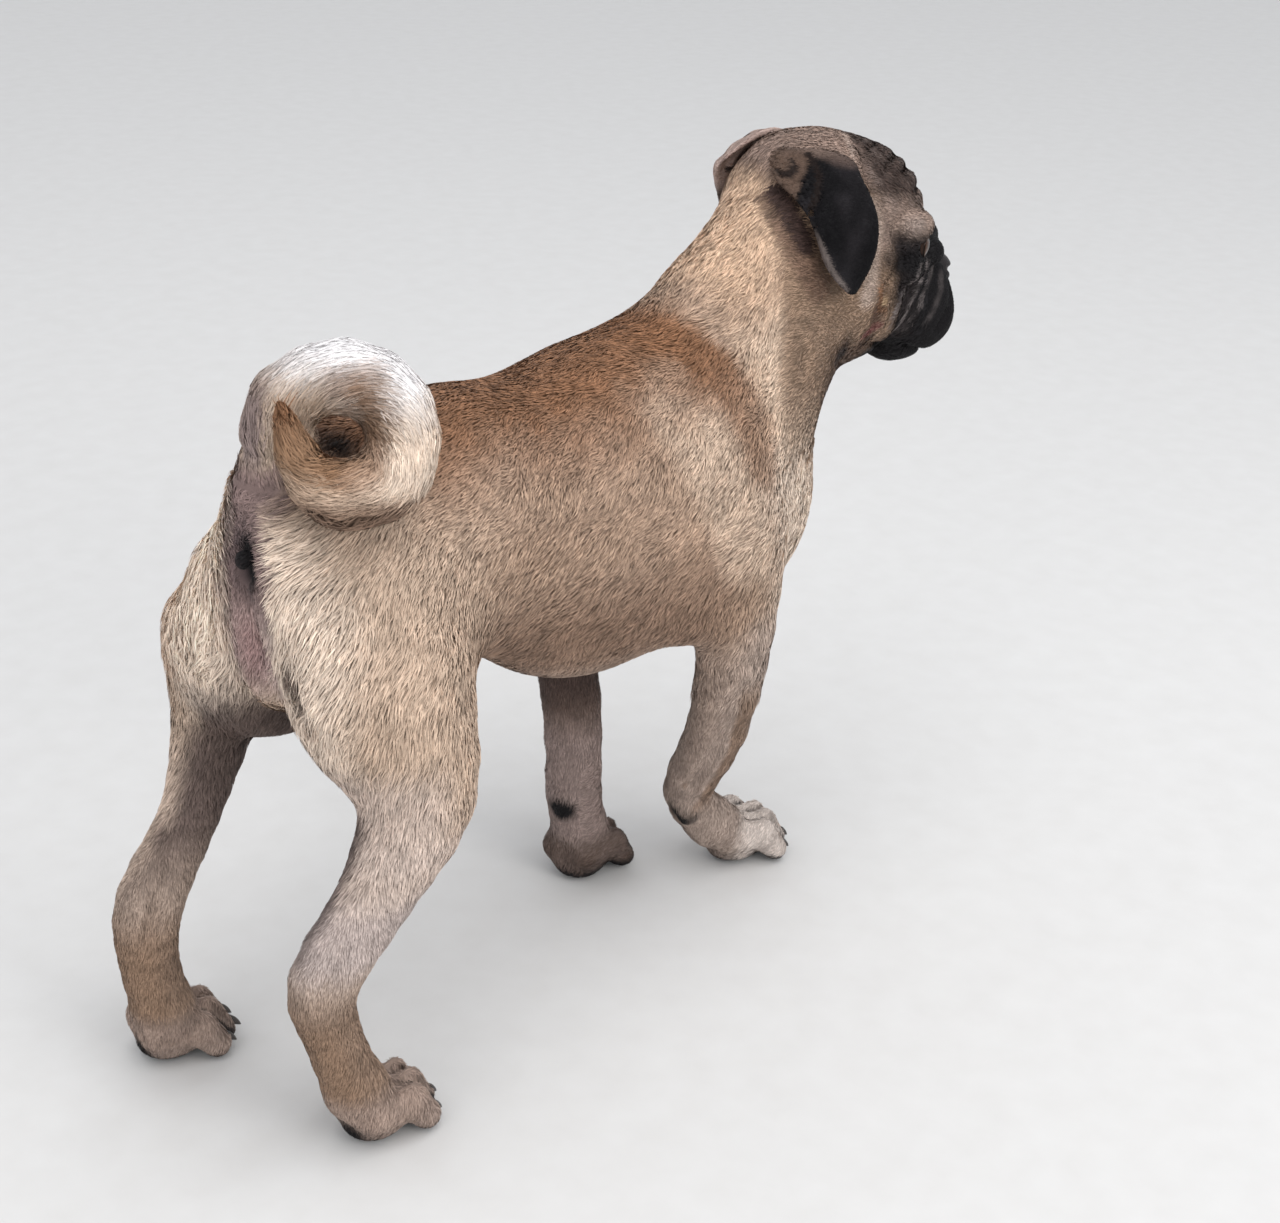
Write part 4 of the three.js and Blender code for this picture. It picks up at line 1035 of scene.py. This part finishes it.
class Socket:
    """An output of a node, with arithmetic."""

    def __init__(self, look, socket):
        self.look = look
        self.socket = socket

    def math(self, operation, *others):
        return self.look.node("ShaderNodeMath", {"operation": operation}, self, *others)

    def __add__(self, other):
        return self.math("ADD", other)

    def __sub__(self, other):
        return self.math("SUBTRACT", other)

    def __mul__(self, other):
        return self.math("MULTIPLY", other)

    def __rsub__(self, other):
        return self.look.node("ShaderNodeMath", {"operation": "SUBTRACT"}, other, self)

    __radd__ = __add__
    __rmul__ = __mul__


class Look:
    """A material under one Principled shader."""

    def __init__(self, name, **inputs):
        self.material = bpy.data.materials.new(name)
        self.material.use_nodes = True
        self.tree = self.material.node_tree
        self.shader = self.tree.nodes["Principled BSDF"]
        self.set(**inputs)

    def node(self, kind, settings=None, *inputs, out=0, **named):
        made = self.tree.nodes.new(kind)
        for key, value in (settings or {}).items():
            setattr(made, key, value)
        for key, value in [*enumerate(inputs), *[(k.replace("_", " "), v) for k, v in named.items()]]:
            self.join(made.inputs[key], value)
        return Socket(self, made.outputs[out])

    def join(self, target, value):
        if isinstance(value, Socket):
            self.tree.links.new(value.socket, target)
        else:
            target.default_value = value

    def set(self, **inputs):
        for key, value in inputs.items():
            self.join(self.shader.inputs[key.replace("_", " ")], value)

    def mix(self, share, a, b, blend="MIX"):
        made = self.tree.nodes.new("ShaderNodeMix")
        made.data_type = "RGBA"
        made.blend_type = blend
        for key, value in ((0, share), (6, a), (7, b)):
            self.join(made.inputs[key], value)
        return Socket(self, made.outputs[2])

    def place(self):
        return self.node("ShaderNodeTexCoord", out="Object")

    def noise(self, size, detail=3, place=None):
        """Noise with lumps of about that size in metres."""
        return self.node(
            "ShaderNodeTexNoise", {}, Vector=place or self.place(), Scale=1 / size, Detail=detail
        )

    def ramp(self, value, low, high, to_low=0.0, to_high=1.0):
        return self.node(
            "ShaderNodeMapRange", {"interpolation_type": "SMOOTHSTEP"}, value, low, high, to_low, to_high
        )

    def bump(self, height, strength, distance):
        return self.node("ShaderNodeBump", {}, Strength=strength, Distance=distance, Height=height)


def coat_look(name, rough, contrast, specular):
    look = Look(name, Roughness=rough, Specular_IOR_Level=specular, Sheen_Weight=0.02, Sheen_Roughness=0.5)
    coat = look.node("ShaderNodeAttribute", {"attribute_name": "coat"}, out="Color")
    mottle = look.noise(0.004, 4) * contrast + (1 - contrast / 2)
    shade = look.mix(1.0, coat, look.mix(mottle, (0, 0, 0, 1), (1, 1, 1, 1)), "MULTIPLY")
    look.set(Base_Color=shade)
    fine = look.noise(0.0011, 4)
    look.set(Normal=look.bump(fine, 0.6, 0.0006))
    look.set(Roughness=look.ramp(fine, 0.3, 0.7, rough - 0.08, rough + 0.08))
    return look.material


skin_look = coat_look("Skin", 0.75, 0.5, 0.1)
hair_look = coat_look("Hair", 0.62, 0.5, 0.14)
ear_look = coat_look("Ear hair", 0.7, 0.5, 0.04)


def nose_look():
    look = Look("Nose leather", Coat_Weight=0.08, Coat_Roughness=0.3, Specular_IOR_Level=0.12)
    pebbles = look.node(
        "ShaderNodeTexVoronoi", {"feature": "DISTANCE_TO_EDGE"}, Vector=look.place(), Scale=900
    )
    tone = look.noise(0.003)
    look.set(Base_Color=look.mix(tone, (0.008, 0.007, 0.008, 1), (0.028, 0.023, 0.024, 1)))
    look.set(Roughness=look.ramp(tone, 0.3, 0.7, 0.35, 0.55))
    look.set(Normal=look.bump(look.ramp(pebbles, 0.0, 0.12), 0.7, 0.0003))
    return look.material


def claw_look():
    look = Look("Claw horn", Specular_IOR_Level=0.5)
    grain = look.noise(0.0012, 4)
    look.set(Base_Color=look.mix(grain, (0.010, 0.008, 0.007, 1), (0.045, 0.034, 0.028, 1)))
    look.set(Roughness=look.ramp(grain, 0.3, 0.7, 0.28, 0.5))
    look.set(Normal=look.bump(grain, 0.25, 0.0002))
    return look.material


def eye_look():
    look = Look("Eye", Coat_Roughness=0.03, Specular_IOR_Level=0.05)
    off = look.node("ShaderNodeAttribute", {"attribute_name": "off_axis"}, out="Fac")
    streaks = look.noise(0.0012, 5)
    iris = look.mix(streaks, (0.014, 0.006, 0.003, 1), (0.075, 0.030, 0.012, 1))
    white = look.mix(look.noise(0.004, 4), (0.016, 0.009, 0.007, 1), (0.040, 0.024, 0.018, 1))
    ball = look.mix(look.ramp(off, 0.60, 0.70), iris, white)
    rim = look.ramp(off, 0.50, 0.62) - look.ramp(off, 0.64, 0.74)
    ball = look.mix(rim, ball, (0.006, 0.004, 0.003, 1))
    ball = look.mix(look.ramp(off, 0.24, 0.28), (0.001, 0.001, 0.001, 1), ball)
    look.set(Base_Color=ball)
    look.set(Coat_Weight=look.ramp(off, 0.40, 0.60, 0.7, 0.0))
    look.set(Roughness=look.ramp(streaks, 0.3, 0.7, 0.1, 0.2) + look.ramp(off, 0.40, 0.60, 0.0, 0.6))
    return look.material


# The skin

FINE = 1.0
axes = [
    graded(-192, 304, lambda v: FINE * (2.2 - 0.9 * smooth(150, 185, v))),
    graded(-92, 90, lambda v: FINE * 1.55),
    graded(-6, 382, lambda v: FINE * (2.2 - 0.75 * smooth(225, 255, v) - 0.6 * smooth(45, 25, v))),
]
values = sampled(skin_field, axes)
grid = Grid(values, axes)
points, faces = surface(values, axes)
for _ in range(2):
    slope = grid.slope(points, 0.8)
    size = np.maximum((slope**2).sum(1), 0.2)
    points = points - slope * (np.clip(in_parts(skin_field, points), -1.5, 1.5) / size)[:, None]
skin_normals = unit(grid.slope(points, 1.2))

# The skin's colours are 0.82 of the coat's: painted shade under the tufts
skin = piece("skin", points, faces, skin_look, 0.82 * markings_and_painted_light(points, skin_normals))
FLESH = [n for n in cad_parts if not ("claw" in n or n.startswith("eye") or n == "nose")]
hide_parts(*FLESH)

# An unwrap of the skin's own shape, which the tufts share
bpy.context.view_layer.objects.active = skin
skin.select_set(True)
skin.data.uv_layers.new(name="OFBake")
bpy.ops.object.mode_set(mode="EDIT")
bpy.ops.mesh.select_all(action="SELECT")
bpy.ops.uv.smart_project(angle_limit=math.radians(66), island_margin=0.002)
bpy.ops.object.mode_set(mode="OBJECT")
skin.select_set(False)
unwrap = np.zeros(len(faces) * 8, np.float32)
skin.data.uv_layers["OFBake"].data.foreach_get("uv", unwrap)
unwrap = unwrap.reshape(-1, 4, 2)

# Tufts

rng = np.random.default_rng(7)


def inside_square(c, u, v):
    """Places inside squares, at the shares u and v of their sides."""
    near = c[:, 0] * (1 - u) + c[:, 1] * u
    far = c[:, 3] * (1 - u) + c[:, 2] * u
    return near * (1 - v) + far * v


def drift(p, size, seed):
    return np.stack([noise(p, size, seed + n) for n in range(3)], 1)


def tufts(name, chosen, count, length, width, lift, jitter=0.12, curl=0.0, contrast=0.22, look=None):
    """Thin blades rooted in some of the skin's squares, lying the way the coat does."""
    corner = points[faces[chosen]]
    area = np.linalg.norm(np.cross(corner[:, 2] - corner[:, 0], corner[:, 3] - corner[:, 1]), axis=1) / 2
    pick = rng.choice(len(chosen), count, p=area / area.sum())
    u, v = rng.random((2, count, 1))
    root = inside_square(corner[pick], u, v)
    at_map = inside_square(unwrap[chosen[pick]], u, v)
    normal = unit(grid.slope(root))
    way = lie(root)
    way = way + rng.normal(0, jitter, way.shape) + 0.25 * drift(root, 22, 20)
    if curl:
        way = way + curl * drift(root, 8, 30)
    way = unit(way - normal * (way * normal).sum(1)[:, None])
    reach = (length(root) if callable(length) else length) * rng.uniform(0.7, 1.25, count)
    stand = (lift(root) if callable(lift) else lift) * rng.uniform(0.5, 1.2, count)
    half = width * rng.uniform(0.35, 0.65, count)
    across = unit(np.cross(normal, way) + normal * rng.normal(0, 0.25, (count, 1)))

    def over(place, height):
        for _ in range(2):
            slope = unit(grid.slope(place))
            place = place + slope * (height - grid(place))[:, None]
        return place

    low = root - 0.25 * normal
    middle = over(root + way * (reach * 0.5)[:, None], stand * 0.85)
    end = over(root + way * reach[:, None], stand)
    side = across * half[:, None]
    corners = np.stack(
        [low - side, low + side, middle - side * 0.85, middle + side * 0.85, end], 1
    ).reshape(-1, 3)
    base = np.arange(count)[:, None] * 5
    made = np.concatenate([base + np.array(t) for t in ((0, 1, 3), (0, 3, 2), (2, 3, 4))], 1).reshape(-1, 3)
    clump = 1 + 0.6 * contrast * noise(root, 5, 40)
    tone = markings_and_painted_light(root, normal) * (clump * rng.uniform(1 - contrast, 1 + contrast, count))[:, None]
    # painted shade at each tuft's root and a painted highlight toward its tip
    shade = 1 + contrast * np.array([-1.1, -1.1, 0.0, 0.0, 0.7])
    colours = np.repeat(tone[:, None], 5, 1) * shade[None, :, None]
    tuft = piece(name, corners, made, look or hair_look, colours.reshape(-1, 3))
    patch = np.array([(0, 0), (1, 0), (0, 0.6), (1, 0.6), (0.5, 1)]) * 0.003 - 0.0015
    places = (at_map[:, None] + patch[None]).reshape(-1, 2)
    layer = tuft.data.uv_layers.new(name="OFBake")
    layer.data.foreach_set("uv", places[made.ravel()].astype(np.float32).ravel())
    return tuft


middles = points[faces].mean(1)
middle_own = head.own(middles)
around = dog(middles)
in_head = (middle_own[:, 0] > -58) & (middle_own[:, 2] > -90)
is_ear = in_head & (with_ears(middles, around) < around - 1.0)
is_tail = (tail_field(middles) < flesh(middles) + 1.5) & (middles[:, 2] > 286) & ~in_head
is_leg = (middles[:, 2] < 120) & ~in_head
is_trunk = ~(in_head | is_tail | is_leg)
bare = spot(middles, (-146, 0, 252), (16, 8, 12)) > 0.2
lid_zone = sum(
    spot(middle_own, (EYE_AT[0] + 9, s * (EYE_AT[1] + 6), EYE_AT[2]), (10, 10, 8)) for s in (1, -1)
) > 0.2
mouth_zone = (middle_own[:, 0] > 52) & in_head


def of(mask):
    return np.flatnonzero(mask & ~bare & ~lid_zone)


back_half = middles[:, 0] < -45
right_side = middles[:, 1] <= 0


def under_tail(p):
    return smooth(17, 8, np.abs(p[:, 1])) * smooth(-125, -133, p[:, 0])


def trunk_length(p):
    x, y, z = p.T
    return (6.5 + 3.5 * smooth(-70, -125, x) - 6 * under_tail(p)) * (0.55 + 0.45 * smooth(118, 185, z))


def trunk_lift(p):
    x, y, z = p.T
    edge = smooth(-112, -128, x) * smooth(14, 22, np.abs(y))
    return (1.3 + 1.8 * edge * smooth(160, 200, z) - 0.8 * under_tail(p)) * (0.5 + 0.5 * smooth(118, 170, z))


tufts("coat_rump", of(is_trunk & back_half), 66000, trunk_length, 0.8, trunk_lift, 0.14, 0.2, 0.26)
tufts("coat_right", of(is_trunk & ~back_half & right_side), 66000, 6.5, 0.75, 1.3, 0.14, 0.45, 0.3)
tufts("coat_left", of(is_trunk & ~back_half & ~right_side), 66000, 6.5, 0.75, 1.3, 0.14, 0.45, 0.3)
tufts("coat_tail", of(is_tail), 34000, lambda p: 13 - 6 * smooth(300, 290, p[:, 2]), 0.8, 2.9, 0.12, 0.12)
tufts("coat_forelegs", of(is_leg & ~back_half & (middles[:, 2] > 3)), 40000, 3.6, 0.5, 0.5)
tufts("coat_hind_legs", of(is_leg & back_half & (middles[:, 2] > 3)), 50000, 4.0, 0.5, 0.6)
tufts(
    "coat_head", of(in_head & ~is_ear & ~mouth_zone), 62000,
    lambda p: 3.8 + 2 * smooth(-20, -50, head.own(p)[:, 0]), 0.62, 0.6, 0.16, 0.3, 0.36
)
tufts("coat_ears", of(is_ear), 34000, 2.2, 0.32, 0.22, look=ear_look)
tufts("coat_muzzle", of(mouth_zone & ~is_ear), 14000, 1.6, 0.32, 0.25)

# Eyes, nose and claws


def ball(rings, steps):
    a = np.linspace(0, math.pi, rings + 1)
    b = np.linspace(0, 2 * math.pi, steps, endpoint=False)
    body_rows = [
        np.stack([np.full(steps, math.cos(t)), math.sin(t) * np.cos(b), math.sin(t) * np.sin(b)], 1)
        for t in a[1:-1]
    ]
    p = np.concatenate([[[1, 0, 0]], *body_rows, [[-1, 0, 0]]])
    f = []
    for k in range(steps):
        n = (k + 1) % steps
        f.append((0, 1 + k, 1 + n))
        for r in range(rings - 2):
            o = 1 + r * steps
            f += [(o + k, o + steps + k, o + steps + n), (o + k, o + steps + n, o + n)]
        o = 1 + (rings - 2) * steps
        f.append((o + k, len(p) - 1, o + n))
    return p, np.array(f)


eye_material = eye_look()
ball_points, ball_faces = ball(40, 48)
for s, name in ((1, "eye_ball_left"), (-1, "eye_ball_right")):
    place = eye_place(s)
    off = np.arccos(np.clip(ball_points[:, 0], -1, 1))
    bulge = 1 + 0.045 * smooth(0.62, 0.0, off)
    own = place.out(ball_points * (EYE_RADIUS - 0.05) * bulge[:, None])
    eye = piece(name, head.out(own), ball_faces, eye_material)
    layer = eye.data.attributes.new("off_axis", "FLOAT", "POINT")
    layer.data.foreach_set("value", off.astype(np.float32))
    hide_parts(name.replace("eye_ball", "eye"))

nose_at = head.out(NOSE_AT)
nose_axes = [graded(v - 18, v + 18, lambda _: FINE * 0.6) for v in nose_at]
nose_values = sampled(nose_field, nose_axes)
nose_points, nose_faces = surface(nose_values, nose_axes)
nose = piece("nose_leather", nose_points, nose_faces, nose_look())
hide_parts("nose")

CLAW_LENGTH, CLAW_HOOK = 7, 4.5
claw_points, claw_faces = [], []
ring_steps, claw_sides = 10, 12
for name, (middle, heading, _) in LEGS.items():
    place = Place((*middle, 0), heading)
    for toe in TOES:
        tx, ty, tz = toe_tip(toe)
        t = np.linspace(-0.1, 1, ring_steps)
        spine = np.stack(
            [tx + 2.5 + t * CLAW_LENGTH, np.full(ring_steps, ty), tz + 2.5 - CLAW_HOOK * t * np.abs(t)], 1
        )
        radius = 2.4 * (1 - np.clip(t, 0, 1) ** 1.8) ** 0.7 * 0.97 + 0.12
        angle = np.linspace(0, 2 * math.pi, claw_sides, endpoint=False)
        rows = spine[:, None] + radius[:, None, None] * np.stack(
            [0.25 * np.sin(angle), 0.85 * np.cos(angle), np.sin(angle)], 1
        )[None]
        base = sum(len(c) for c in claw_points)
        claw_points.append(place.out(rows.reshape(-1, 3)))
        for r in range(ring_steps - 1):
            for k in range(claw_sides):
                n = (k + 1) % claw_sides
                o = base + r * claw_sides
                claw_faces.append((o + k, o + n, o + claw_sides + n, o + claw_sides + k))
claws = piece("claws", np.concatenate(claw_points), np.array(claw_faces), claw_look())
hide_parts(*[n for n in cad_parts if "claw" in n])

# Floor, light and camera

floor_look = Look("Floor", Roughness=0.7, Base_Color=(0.62, 0.61, 0.60, 1))
speck = floor_look.noise(0.02, 4)
floor_look.set(Base_Color=floor_look.mix(speck, (0.60, 0.59, 0.58, 1), (0.66, 0.655, 0.65, 1)))
bpy.ops.mesh.primitive_plane_add(size=30, location=(0, 0, 0))
floor = bpy.context.object
floor.name = "floor"
floor.data.materials.append(floor_look.material)

world = bpy.data.worlds.new("Studio")
bpy.context.scene.world = world
world.use_nodes = True
world.node_tree.nodes["Background"].inputs[0].default_value = (0.95, 0.97, 1.0, 1)
world.node_tree.nodes["Background"].inputs[1].default_value = 0.9


def lamp(name, at, aim, size, power, colour=(1, 1, 1)):
    data = bpy.data.lights.new(name, "AREA")
    data.shape = "DISK"
    data.size = size
    data.energy = power
    data.color = colour
    made = bpy.data.objects.new(name, data)
    made.location = at
    made.rotation_mode = "QUATERNION"
    made.rotation_quaternion = (Vector(aim) - Vector(at)).to_track_quat("-Z", "Y")
    bpy.context.scene.collection.objects.link(made)


lamp("sky", (-0.2, -0.5, 2.2), (0, 0, 0.2), 2.2, 24)
lamp("side", (-0.1, -2.3, 1.2), (0, 0, 0.22), 1.4, 20, (1.0, 0.98, 0.95))
lamp("rear", (-1.9, -0.4, 0.9), (0, 0, 0.22), 1.0, 4, (1.0, 0.98, 0.95))

lens = bpy.data.cameras.new("camera")
lens.lens = 62.02
lens.sensor_width = 36
camera = bpy.data.objects.new("camera", lens)
right = (0.64677787, -0.76196739, 0.03292547)
up = (0.2981811, 0.29236687, 0.90863064)
back = (-0.70197323, -0.57786444, 0.4163007)
camera.matrix_world = Matrix.Translation(
    (-0.652 - CENTRE[0] / 1000, -0.62221 - CENTRE[1] / 1000, 0.6)
) @ Matrix((right, up, back)).transposed().to_4x4()
bpy.context.scene.collection.objects.link(camera)
bpy.context.scene.camera = camera
bpy.context.scene.view_settings.view_transform = "Standard"
